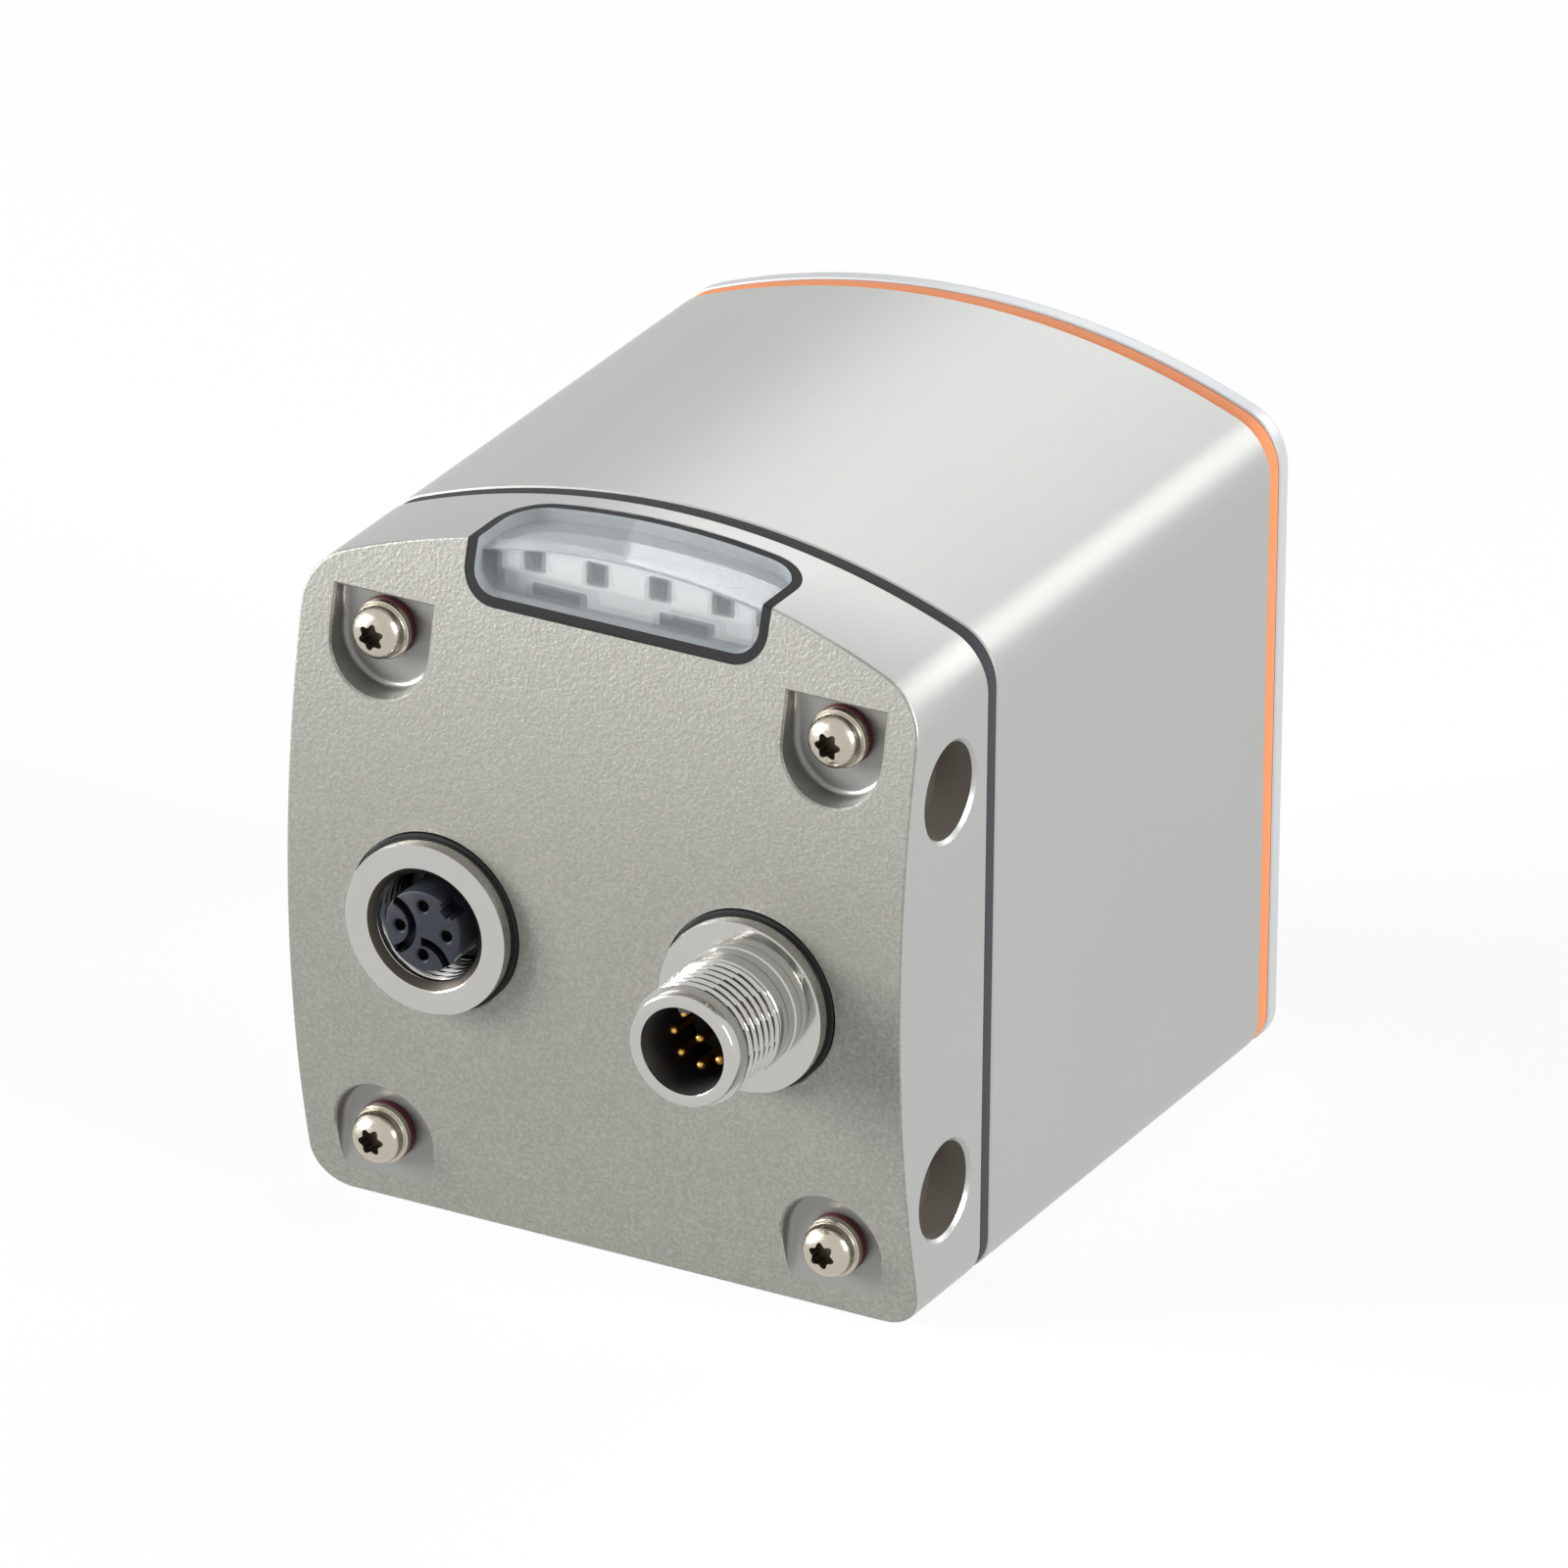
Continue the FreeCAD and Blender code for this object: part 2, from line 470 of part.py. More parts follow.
def arched_prism(inset, front, length):
    """Housing outline, inset by a formula, that ends at the front plane and runs rearward."""
    body = new_body("Arch", y=front)
    sketch = new_sketch(body, "XZ_Plane")
    shrink = worth(inset)
    half = VALUE["body_width"] / 2 - shrink
    crown = VALUE["top_radius"] - shrink
    shoulder_text = f"max(shoulder_radius - {inset}, least_radius)"
    foot_text = f"max(foot_radius - {inset}, least_radius)"
    shoulder = worth(shoulder_text)
    foot = worth(foot_text)
    centre_z = VALUE["body_height"] - VALUE["top_radius"]
    shoulder_x = half - shoulder
    shoulder_z = centre_z + math.sqrt((crown - shoulder) ** 2 - shoulder_x ** 2)
    foot_x = half - foot
    foot_z = shrink + foot
    turn = math.atan2(shoulder_z - centre_z, shoulder_x)
    up = FreeCAD.Vector(0, 0, 1)

    def arc(x, z, radius, start, end):
        circle = Part.Circle(FreeCAD.Vector(x, z, 0), up, radius)
        return Part.ArcOfCircle(circle, start, end)

    def line(x_start, z_start, x_end, z_end):
        return Part.LineSegment(FreeCAD.Vector(x_start, z_start, 0), FreeCAD.Vector(x_end, z_end, 0))

    sketch.addGeometry([
        line(-foot_x, shrink, foot_x, shrink),
        arc(foot_x, foot_z, foot, -math.pi / 2, 0),
        line(half, foot_z, half, shoulder_z),
        arc(shoulder_x, shoulder_z, shoulder, 0, turn),
        arc(0, centre_z, crown, turn, math.pi - turn),
        arc(-shoulder_x, shoulder_z, shoulder, math.pi - turn, math.pi),
        line(-half, shoulder_z, -half, foot_z),
        arc(-foot_x, foot_z, foot, math.pi, 1.5 * math.pi),
    ], False)
    for number in range(8):
        hold(sketch, Sketcher.Constraint("Tangent", number, 2, (number + 1) % 8, 1))
    hold(sketch, Sketcher.Constraint("Horizontal", 0))
    hold(sketch, Sketcher.Constraint("Vertical", 2))
    hold(sketch, Sketcher.Constraint("Vertical", 6))
    hold(sketch, Sketcher.Constraint("PointOnObject", 4, 3, -2))
    hold(sketch, Sketcher.Constraint("DistanceY", -1, 1, 4, 3, centre_z), "body_height - top_radius")
    hold(sketch, Sketcher.Constraint("DistanceX", -1, 1, 2, 1, half), f"body_width / 2 - {inset}")
    hold(sketch, Sketcher.Constraint("DistanceX", 6, 1, -1, 1, half), f"body_width / 2 - {inset}")
    if shrink > 0:
        hold(sketch, Sketcher.Constraint("DistanceY", -1, 1, 0, 1, shrink), inset)
    else:
        hold(sketch, Sketcher.Constraint("PointOnObject", 0, 1, -1))
    for number, radius, text in ((1, foot, foot_text), (7, foot, foot_text),
                                 (3, shoulder, shoulder_text), (5, shoulder, shoulder_text),
                                 (4, crown, f"top_radius - {inset}")):
        hold(sketch, Sketcher.Constraint("Radius", number, radius), text)
    pad = body.newObject("PartDesign::Pad", "ArchPad")
    pad.Profile = sketch
    bind(pad, Length=length)
    return body


def worth(text):
    """Number that a formula gives, worked out in a sheet of its own."""
    if text not in known:
        working.set("A1", f"={formula(text)}")
        document.recompute([working])
        known[text] = float(working.get("A1"))
    return known[text]


def turned(x, z, corners, name="Turned"):
    """Revolved piece about a line along Y; corners are (radius, y) formulas."""
    body = new_body(name, x=x, z=z)
    sketch = new_sketch(body, "XY_Plane")
    last = len(corners) - 1
    for number, (radius, y) in enumerate(corners):
        following = corners[(number + 1) % len(corners)]
        start = FreeCAD.Vector(worth(radius), worth(y), 0)
        end = FreeCAD.Vector(worth(following[0]), worth(following[1]), 0)
        sketch.addGeometry(Part.LineSegment(start, end), False)
    for number, (radius, y) in enumerate(corners):
        following = 0 if number == last else number + 1
        hold(sketch, Sketcher.Constraint("Coincident", number, 2, following, 1))
        if radius == "0":
            hold(sketch, Sketcher.Constraint("PointOnObject", number, 1, -2))
        else:
            hold(sketch, Sketcher.Constraint("DistanceX", -1, 1, number, 1, worth(radius)), radius)
        hold(sketch, Sketcher.Constraint("DistanceY", -1, 1, number, 1, worth(y)), y)
    revolution = body.newObject("PartDesign::Revolution", "Turn")
    revolution.Profile = sketch
    revolution.ReferenceAxis = (sketch, ["V_Axis"])
    revolution.Angle = 360
    return body


def holes(places, start, radius, length):
    """Cylinders at each fastener's place, for cutting."""
    return [rod(x, start, z, radius, length) for x, z in places]


def cheese_screws(label, places, head_start, head, head_height, thread, length, forward=True):
    """Screws with a plain round head; the shank runs forward or rearward from the head."""
    sign = "" if forward else "-"
    corners = [("0", f"({head_start})"), (f"({head} / 2)", f"({head_start})"),
               (f"({head} / 2)", f"({head_start} {sign or '+'} {head_height})"),
               (f"({thread} / 2)", f"({head_start} {sign or '+'} {head_height})"),
               (f"({thread} / 2)", f"({head_start} {sign or '+'} ({head_height} + {length}))"),
               ("0", f"({head_start} {sign or '+'} ({head_height} + {length}))")]
    return node(label, group([turned(x, z, corners) for x, z in places]))


def main_housing():
    """Open shell with a front wall, ports for the optics and four screw posts at the rear."""
    shell = cut(arched_prism("0", HOUSING_FRONT, "housing_length"),
                [arched_prism("wall", BULKHEAD_REAR, "housing_length")])
    posts = [rod(x, HOUSING_REAR, z, "post_radius", "post_length") for x, z in REAR_SCREWS]
    cuts = holes(REAR_SCREWS, HOUSING_REAR, "screw_diameter / 2",
                 "collar_height + washer_thickness + screw_grip")
    cuts += holes(FRONT_SCREWS, BULKHEAD_REAR, "small_screw / 2", "bulkhead")
    cuts += holes(BOARD_SCREWS, BULKHEAD_REAR, "board_screw / 2", "stud_length")
    cuts += holes(HOLDER_SCREWS_PLATE, BULKHEAD_REAR, "small_screw / 2", "small_grip")
    cuts += holes(LAMP_SCREWS, BULKHEAD_REAR, "small_screw / 2", "small_grip")
    cuts.append(rod("0", BULKHEAD_REAR, LENS_HEIGHT, "barrel_radius + fit", "bulkhead"))
    cuts.append(centred(BULKHEAD_REAR, EMITTER_HEIGHT, PORT_WIDTH, "bulkhead", "port_height"))
    return node("main_housing", cut(joined([shell] + posts), cuts))


def domed_form(inset):
    """Rear cover's outer form, inset by a named size: arched outline and a domed rear face."""
    prism = arched_prism(inset, COVER_FRONT, f"cover_depth - {inset}")
    dome = cross_rod("-body_width", DOME_AXIS, "dome_height", f"dome_radius - {inset}", "2 * body_width")
    return common(prism, dome)


def window_prism(rim):
    """Outline of the indicator window on the domed face and on the top, inset by a rim."""
    half = f"({WINDOW_HALF} - {rim})"
    rear = block(f"-{half}", f"{COVER_APEX} - overcut", f"{WINDOW_BOTTOM} + {rim}", f"2 * {half}",
                 "cover_depth + overcut", "body_height")
    rear = rounded_edges(rear, worth(f"window_low_corner - {rim}"),
                         lambda edge: runs_along(edge, 1) and edge.CenterOfMass.z < VALUE["body_height"])
    top = block(f"-{half}", f"{COVER_APEX} - overcut", f"{WINDOW_BOTTOM} / 2", f"2 * {half}",
                f"{WINDOW_EDGE} - {rim} - ({COVER_APEX} - overcut)", "body_height")
    middle = worth(f"{COVER_APEX}")
    top = rounded_edges(top, worth(f"window_high_corner - {rim}"),
                        lambda edge: runs_along(edge, 2) and edge.CenterOfMass.y > middle)
    return common(rear, top)


def recess_tool(side, centre, end):
    """U-shaped screw recess: rounded end towards the middle, straight drafted walls, flat floor."""
    body = new_body("Recess", x=f"{side} * ({SCREW_X} - recess_shift)", y=RECESS_FLOOR, z=centre)
    sketch = new_sketch(body, "XZ_Plane")
    radius = VALUE["recess_radius"]
    reach = worth(end)
    turn = math.copysign(1, reach)
    circle = Part.Circle(FreeCAD.Vector(), FreeCAD.Vector(0, 0, 1), radius)
    start_angle = math.pi if turn > 0 else 0.0
    left = FreeCAD.Vector(-radius, 0, 0)
    right = FreeCAD.Vector(radius, 0, 0)
    far_left = FreeCAD.Vector(-radius, reach, 0)
    far_right = FreeCAD.Vector(radius, reach, 0)
    first, second = (left, right) if turn > 0 else (right, left)
    far_first, far_second = (far_left, far_right) if turn > 0 else (far_right, far_left)
    sketch.addGeometry([Part.ArcOfCircle(circle, start_angle, start_angle + math.pi),
                        Part.LineSegment(second, far_second),
                        Part.LineSegment(far_second, far_first),
                        Part.LineSegment(far_first, first)], False)
    hold(sketch, Sketcher.Constraint("Tangent", 0, 2, 1, 1))
    hold(sketch, Sketcher.Constraint("Coincident", 1, 2, 2, 1))
    hold(sketch, Sketcher.Constraint("Coincident", 2, 2, 3, 1))
    hold(sketch, Sketcher.Constraint("Tangent", 3, 2, 0, 1))
    hold(sketch, Sketcher.Constraint("Vertical", 1))
    hold(sketch, Sketcher.Constraint("Vertical", 3))
    hold(sketch, Sketcher.Constraint("Horizontal", 2))
    hold(sketch, Sketcher.Constraint("Coincident", 0, 3, -1, 1))
    hold(sketch, Sketcher.Constraint("Radius", 0, radius), "recess_radius")
    hold(sketch, Sketcher.Constraint("DistanceY", -1, 1, 2, 1, reach), end)
    pad = body.newObject("PartDesign::Pad", "RecessPad")
    pad.Profile = sketch
    bind(pad, Length="cover_depth - recess_height + overcut", TaperAngle="recess_draft_angle")
    floor = worth(RECESS_FLOOR)
    return rounded_edges(body, VALUE["recess_fillet"],
                         lambda edge: abs(edge.BoundBox.YMax - floor) < NEAR
                         and edge.BoundBox.YLength < NEAR)


def side_holes():
    """Blind mounting holes in both sides of the rear cover, with chamfered mouths."""
    tools = []
    for row in (SIDE_HOLE_HIGH, "side_hole_low"):
        centre = f"{COVER_FRONT} - side_hole_set"
        tools.append(cross_rod("body_width / 2 - side_hole_depth", centre, row,
                               "side_hole_diameter / 2", "side_hole_depth + overcut"))
        tools.append(cross_rod("-body_width / 2 - overcut", centre, row,
                               "side_hole_diameter / 2", "side_hole_depth + overcut"))
        tools.append(cone("body_width / 2 - side_hole_chamfer", centre, row, "side_hole_diameter / 2",
                          "side_hole_diameter / 2 + 2 * side_hole_chamfer", "2 * side_hole_chamfer",
                          ALONG_X))
        tools.append(cone("-body_width / 2 - side_hole_chamfer", centre, row,
                          "side_hole_diameter / 2 + 2 * side_hole_chamfer", "side_hole_diameter / 2",
                          "2 * side_hole_chamfer", ALONG_X))
    return tools


def rear_cover():
    """Cast and machined cover: dome, four screw recesses, connector seats, indicator opening."""
    form = domed_form("0")
    edge_limit = worth(f"{COVER_FRONT} - cover_depth / 2")
    form = rounded_edges(form, VALUE["cover_edge_radius"],
                         lambda edge: edge.CenterOfMass.y < edge_limit and not runs_along(edge, 1))
    inner_dome = cross_rod("-body_width", DOME_AXIS, "dome_height", "dome_radius - cover_wall",
                           "2 * body_width")
    tall = block(f"-{CAVITY_HALF}", NUT_SEAT, "cavity_bottom", f"2 * {CAVITY_HALF}",
                 f"{COVER_FRONT} - {NUT_SEAT}", f"{CAVITY_TOP} - cavity_bottom")
    wide = block(f"-{SPAN_HALF}", NUT_SEAT, SPAN_BOTTOM, f"2 * {SPAN_HALF}",
                 f"{COVER_FRONT} - {NUT_SEAT}", f"{SPAN_TOP} - {SPAN_BOTTOM}")
    tail_room = block(f"-{SPAN_HALF}", f"{NUT_END} + nut_room", SPAN_BOTTOM, f"2 * {SPAN_HALF}",
                      f"{COVER_FRONT} - {NUT_END} - nut_room", f"{SPAN_TOP} - {SPAN_BOTTOM}")
    cavity = joined([common(joined([tall, wide]), inner_dome), tail_room])
    opening_half = f"({WINDOW_HALF} - window_rim - window_ledge)"
    pocket = block(f"-{opening_half}", HOLDER_POCKET, f"{CAVITY_TOP} - cover_wall", f"2 * {opening_half}",
                   f"{COVER_FRONT} - {HOLDER_POCKET}", f"{POCKET_TOP} - {CAVITY_TOP} + cover_wall")
    opening = block(f"-{opening_half}", f"{COVER_APEX} - overcut",
                    f"{WINDOW_BOTTOM} + window_rim + window_ledge", f"2 * {opening_half}",
                    f"{WINDOW_EDGE} - window_rim - window_ledge - ({COVER_APEX} - overcut)", "body_height")
    window_seat = cut(window_prism("0"), [domed_form("window_depth")])
    cuts = [cavity, pocket, opening, window_seat]
    for side in SIDES:
        cuts.append(recess_tool(side, f"{SCREW_HIGH} - recess_drop", "recess_end"))
        cuts.append(recess_tool(side, "screw_low + recess_rise", "-screw_low - recess_rise - recess_end"))
    cuts += holes(REAR_SCREWS, RECESS_FLOOR, "screw_hole / 2", "recess_height")
    cuts += side_holes()
    for x in (PLUG_X, SOCKET_X):
        cuts.append(rod(x, f"{SPOT_FACE} - overcut", "connector_height", "spot_diameter / 2", "overcut"))
        cuts.append(rod(x, SPOT_FACE, "connector_height", "neck_hole / 2", "connector_wall"))
        cuts.append(rod(x, NUT_SEAT, "connector_height", "nut_width / sqrt(3) + nut_room",
                        f"{COVER_FRONT} - {NUT_SEAT}"))
    return node("rear_cover", cut(form, cuts))


def gaskets():
    """Gasket under the rear cover and the seal ring under the front cover."""
    outline = arched_prism("gasket_inset", HOUSING_REAR, "gasket_thickness")
    inner = arched_prism("wall", HOUSING_REAR, "gasket_thickness")
    ears = [rod(x, COVER_FRONT, z, "post_radius", "gasket_thickness") for x, z in REAR_SCREWS]
    gasket = cut(joined([cut(outline, [inner])] + ears),
                 holes(REAR_SCREWS, COVER_FRONT, "screw_hole / 2", "gasket_thickness"))
    node("rear_gasket", gasket)
    ring = cut(arched_prism("0", SEAL_FRONT, "seal_thickness"),
               [arched_prism("seal_width", SEAL_FRONT, "seal_thickness")])
    node("front_seal_ring", ring)


def glass_outline(grow, start, depth):
    """Rounded rectangle of the front glass, larger by a margin."""
    plate = block(f"-{GLASS_HALF} - {grow}", start, f"glass_bottom - {grow}",
                  f"2 * ({GLASS_HALF} + {grow})", depth, f"{GLASS_TOP} - glass_bottom + 2 * {grow}")
    return rounded_edges(plate, worth(f"glass_corner + {grow}"), lambda edge: runs_along(edge, 1))


def front_cover():
    """Front plate with a rounded rim, a spigot inside the seal ring and a seat for the glass."""
    plate = arched_prism("0", FACE, "front_cover_thickness")
    face = worth(FACE)
    plate = rounded_edges(plate, VALUE["front_edge_radius"],
                          lambda edge: edge.BoundBox.YMin > face - NEAR)
    spigot = arched_prism("(seal_width + fit)", SEAL_FRONT, "seal_thickness")
    cuts = [glass_outline("fit", BOND_REAR, "seal_thickness + front_cover_thickness"),
            glass_outline("-bond_width", HOUSING_FRONT, "seal_thickness + front_cover_thickness")]
    cuts += holes(FRONT_SCREWS, HOUSING_FRONT, "small_screw / 2", "front_screw_grip")
    node("front_cover", cut(joined([plate, spigot]), cuts))
    node("front_glass", glass_outline("0", GLASS_REAR, "glass_thickness"))
    node("glass_bond", cut(glass_outline("0", BOND_REAR, "bond_thickness"),
                           [glass_outline("-bond_width", BOND_REAR, "bond_thickness")]))
    baffle_width = f"2 * ({GLASS_HALF} - bond_width)"
    baffle_height = f"({EMITTER_HEIGHT} - port_height / 2 + {LENS_HEIGHT} + barrel_radius) / 2"
    node("light_baffle", centred(HOUSING_FRONT, baffle_height, baffle_width,
                                 f"{GLASS_REAR} - {HOUSING_FRONT}", "baffle_thickness"))
    cheese_screws("front_screws", FRONT_SCREWS, f"({BULKHEAD_REAR} - small_head_height)", "small_head",
                  "small_head_height", "small_screw", "(bulkhead + front_screw_grip - fit)")


def rear_screws():
    """Pan-head screws with their washer face, each on a red sealing washer."""
    washer_rear = f"({RECESS_FLOOR} - washer_thickness)"
    collar_rear = f"({washer_rear} - collar_height)"
    head_rear = f"({collar_rear} - head_height)"
    tip = f"({HOUSING_REAR} + screw_grip)"
    corners = [("0", head_rear)]
    corners += [(f"(head_diameter * {width})", f"({head_rear} + head_height * {depth})")
                for width, depth in HEAD_CROWN]
    corners += [("(head_diameter / 2)", collar_rear), ("(collar_diameter / 2)", collar_rear),
                ("(collar_diameter / 2)", washer_rear), ("(screw_diameter / 2)", washer_rear),
                ("(screw_diameter / 2)", tip), ("0", tip)]
    screws = []
    washers = []
    for x, z in REAR_SCREWS:
        drive = hexagon(x, head_rear, z, "drive_size", "drive_depth")
        screws.append(cut(turned(x, z, corners), [drive]))
        washers.append(cut(rod(x, washer_rear, z, "washer_diameter / 2", "washer_thickness"),
                           [rod(x, washer_rear, z, "screw_diameter / 2", "washer_thickness")]))
    node("rear_screws", group(screws))
    node("sealing_washers", group(washers))


def indicators():
    """Window let into the cover's upper edge, its gasket, and the lamps behind it."""
    patches = [cut(common(domed_form("0"), window_prism("0")), [domed_form("window_depth")])
               for name in ("window", "gasket")]
    node("indicator_window", common(patches[0], window_prism("window_rim")))
    node("indicator_gasket", cut(patches[1], [window_prism("window_rim")]))
    half = f"({WINDOW_HALF} - window_rim - window_ledge - holder_gap)"
    depth = f"{HOLDER_BACK} - {HOLDER_FACE}"
    carrier = block(f"-{half}", HOLDER_FACE, HOLDER_BOTTOM, f"2 * {half}", depth,
                    f"{HOLDER_TOP} - {HOLDER_BOTTOM}")
    slots = [centred(HOLDER_FACE, LAMP_HEIGHT, "slot_width", depth, "slot_height", x=x) for x in LAMPS]
    node("indicator_holder", cut(carrier, slots))
    board_bottom = f"({HOLDER_BOTTOM} - board_thickness)"
    board = centred(HOLDER_BACK, f"({board_bottom} + {HOLDER_TOP}) / 2", f"2 * {half}",
                    "board_thickness / 2", f"{HOLDER_TOP} - {board_bottom}")
    node("indicator_board", board)
    lamps = [centred(f"{HOLDER_BACK} - lamp_thickness", LAMP_HEIGHT, "slot_width - fit", "lamp_thickness",
                     "slot_height - fit", x=x) for x in LAMPS]
    node("indicator_lamps", group(lamps))
    ribbon_end = "(connector_height + connector_board_height / 2 - board_thickness)"
    node("indicator_ribbon", block("-lamp_ribbon_width / 2", TAIL_BOARD_FRONT, ribbon_end,
                                   "lamp_ribbon_width", "ribbon_thickness",
                                   f"{HOLDER_BOTTOM} - {ribbon_end}"))


def seal_and_nut(prefix, x):
    """Seal under a connector's flange and the nut inside the cover."""
    seal = cut(rod(x, FLANGE_BACK, "connector_height", "ring_diameter / 2", "ring_thickness"),
               [rod(x, FLANGE_BACK, "connector_height", "neck_diameter / 2", "ring_thickness")])
    node(f"{prefix}_seal", seal)
    nut = cut(hexagon(x, NUT_SEAT, "connector_height", "nut_width / sqrt(3)", "nut_thickness"),
              [rod(x, NUT_SEAT, "connector_height", "neck_diameter / 2", "nut_thickness")])
    node(f"{prefix}_nut", nut)


def flange_corners():
    """Corners that both connector bodies share, from the flange's outer edge to the rear end."""
    return [("(flange_diameter / 2 - flange_edge)", FLANGE_FACE),
            ("(flange_diameter / 2)", f"({FLANGE_FACE} + flange_edge)"),
            ("(flange_diameter / 2)", FLANGE_BACK), ("(neck_diameter / 2)", FLANGE_BACK),
            ("(neck_diameter / 2)", NUT_END)]


def pin_places():
    """Centre pin and the outer pins, on both sides of the coding key."""
    places = [(PLUG_X, "connector_height")]
    for number in PIN_NUMBERS:
        angle = f"(key_angle + 180 + ({number} - {MIDDLE_PIN}) * pin_step_angle)"
        places.append((f"({PLUG_X} + pin_circle / 2 * cos({angle} * 1deg))",
                       f"(connector_height + pin_circle / 2 * sin({angle} * 1deg))"))
    return places


def power_plug():
    """Eight-pin round plug: threaded shell, insulating insert and pins."""
    corners = [("(plug_bore / 2)", PLUG_TIP), ("(plug_tip_diameter / 2)", PLUG_TIP),
               ("(plug_tip_diameter / 2)", f"({PLUG_TIP} + plug_tip_length)"),
               ("(thread_diameter / 2)", f"({PLUG_TIP} + plug_tip_length + plug_chamfer)"),
               ("(thread_diameter / 2)", FLANGE_FACE)] + flange_corners()
    corners.append(("(plug_bore / 2)", NUT_END))
    shell = turned(PLUG_X, "connector_height", corners, "PlugShell")
    key = centred(f"{PLUG_TIP} + plug_tip_length", "connector_height",
                  "plug_key_width", "plug_core_depth - plug_tip_length", "2 * plug_key_height", x=PLUG_X)
    bind(key, z="connector_height + plug_bore / 2 - plug_key_height")
    bore_wall = rod(PLUG_X, PLUG_TIP, "connector_height", "plug_bore / 2 + fit", "plug_length")
    key = common(key, bore_wall)
    node("power_plug_shell", joined([shell, key]))
    places = pin_places()
    pin_holes = holes(places, PLUG_CORE, "pin_diameter / 2", f"{NUT_END} - {PLUG_CORE}")
    insert = rod(PLUG_X, PLUG_CORE, "connector_height", "plug_bore / 2", f"{NUT_END} - {PLUG_CORE}")
    node("power_plug_insert", cut(insert, pin_holes))
    tip = f"({PLUG_TIP} + pin_depth)"
    pin = [("0", tip), ("(pin_diameter / 4)", tip), ("(pin_diameter / 2)", f"({tip} + pin_diameter / 3)"),
           ("(pin_diameter / 2)", TAIL_BOARD_FRONT), ("0", TAIL_BOARD_FRONT)]
    node("power_plug_pins", group([turned(x, z, pin, "Pin") for x, z in places]))
    seal_and_nut("power_plug", PLUG_X)


def contact_places():
    """Four contacts on the socket's circle."""
    return [(f"({SOCKET_X} + contact_circle / 2 * cos({angle} * 1deg))",
             f"(connector_height + contact_circle / 2 * sin({angle} * 1deg))")
            for angle in CONTACT_ANGLES]


def network_socket():
    """Four-pole round socket: threaded shell, insulating insert and sleeve contacts."""
    floor = f"({FLANGE_FACE} + socket_depth)"
    corners = [("(socket_minor / 2)", f"({FLANGE_FACE} + (socket_entry - socket_minor) / 2)"),
               ("(socket_entry / 2)", FLANGE_FACE)] + flange_corners()
    corners += [("(core_diameter / 2)", NUT_END), ("(core_diameter / 2)", floor),
                ("(socket_minor / 2)", floor)]
    node("network_socket_shell", turned(SOCKET_X, "connector_height", corners, "SocketShell"))
    insert = rod(SOCKET_X, CORE_FACE, "connector_height", "core_diameter / 2", f"{NUT_END} - {CORE_FACE}")
    mouths = holes(contact_places(), CORE_FACE, "contact_hole / 2", "contact_set")
    seats = holes(contact_places(), f"{CORE_FACE} + contact_set", "contact_diameter / 2",
                  f"{NUT_END} - {CORE_FACE} - contact_set")
    key = centred(CORE_FACE, "connector_height + notch_set", "notch_width", "notch_depth", "notch_width",
                  x=f"({SOCKET_X} + notch_set)")
    node("network_socket_insert", cut(insert, mouths + seats + [key]))
    contacts = []
    for x, z in contact_places():
        sleeve = rod(x, f"{CORE_FACE} + contact_set", z, "contact_diameter / 2",
                     f"{TAIL_BOARD_FRONT} - {CORE_FACE} - contact_set")
        bore = rod(x, f"{CORE_FACE} + contact_set", z, "contact_hole / 2", "socket_depth / 2")
        contacts.append(cut(sleeve, [bore]))
    node("network_socket_contacts", group(contacts))
    seal_and_nut("network_socket", SOCKET_X)


def connector_board():
    """Board that the pins and contacts are soldered to, with its ribbon to the power board."""
    plate = centred(TAIL_BOARD, "connector_height", f"2 * ({SPAN_HALF} - connector_board_gap)",
                    "board_thickness",
                    "connector_board_height")
    cuts = holes(pin_places(), TAIL_BOARD, "pin_diameter / 2", "board_thickness")
    cuts += holes(contact_places(), TAIL_BOARD, "contact_diameter / 2", "board_thickness")
    node("connector_board", cut(plate, cuts))
    rear_header = centred(TAIL_BOARD_FRONT, "connector_height", "header_width", "header_depth",
                          "header_height")
    front_header = centred(f"{POWER_REAR} - header_depth", "connector_height", "header_width",
                           "header_depth", "header_height")
    node("ribbon_headers", group([rear_header, front_header]))
    start = f"({TAIL_BOARD_FRONT} + header_depth)"
    node("power_ribbon", centred(start, "connector_height", "ribbon_width",
                                 f"{POWER_REAR} - header_depth - {start}", "ribbon_thickness"))


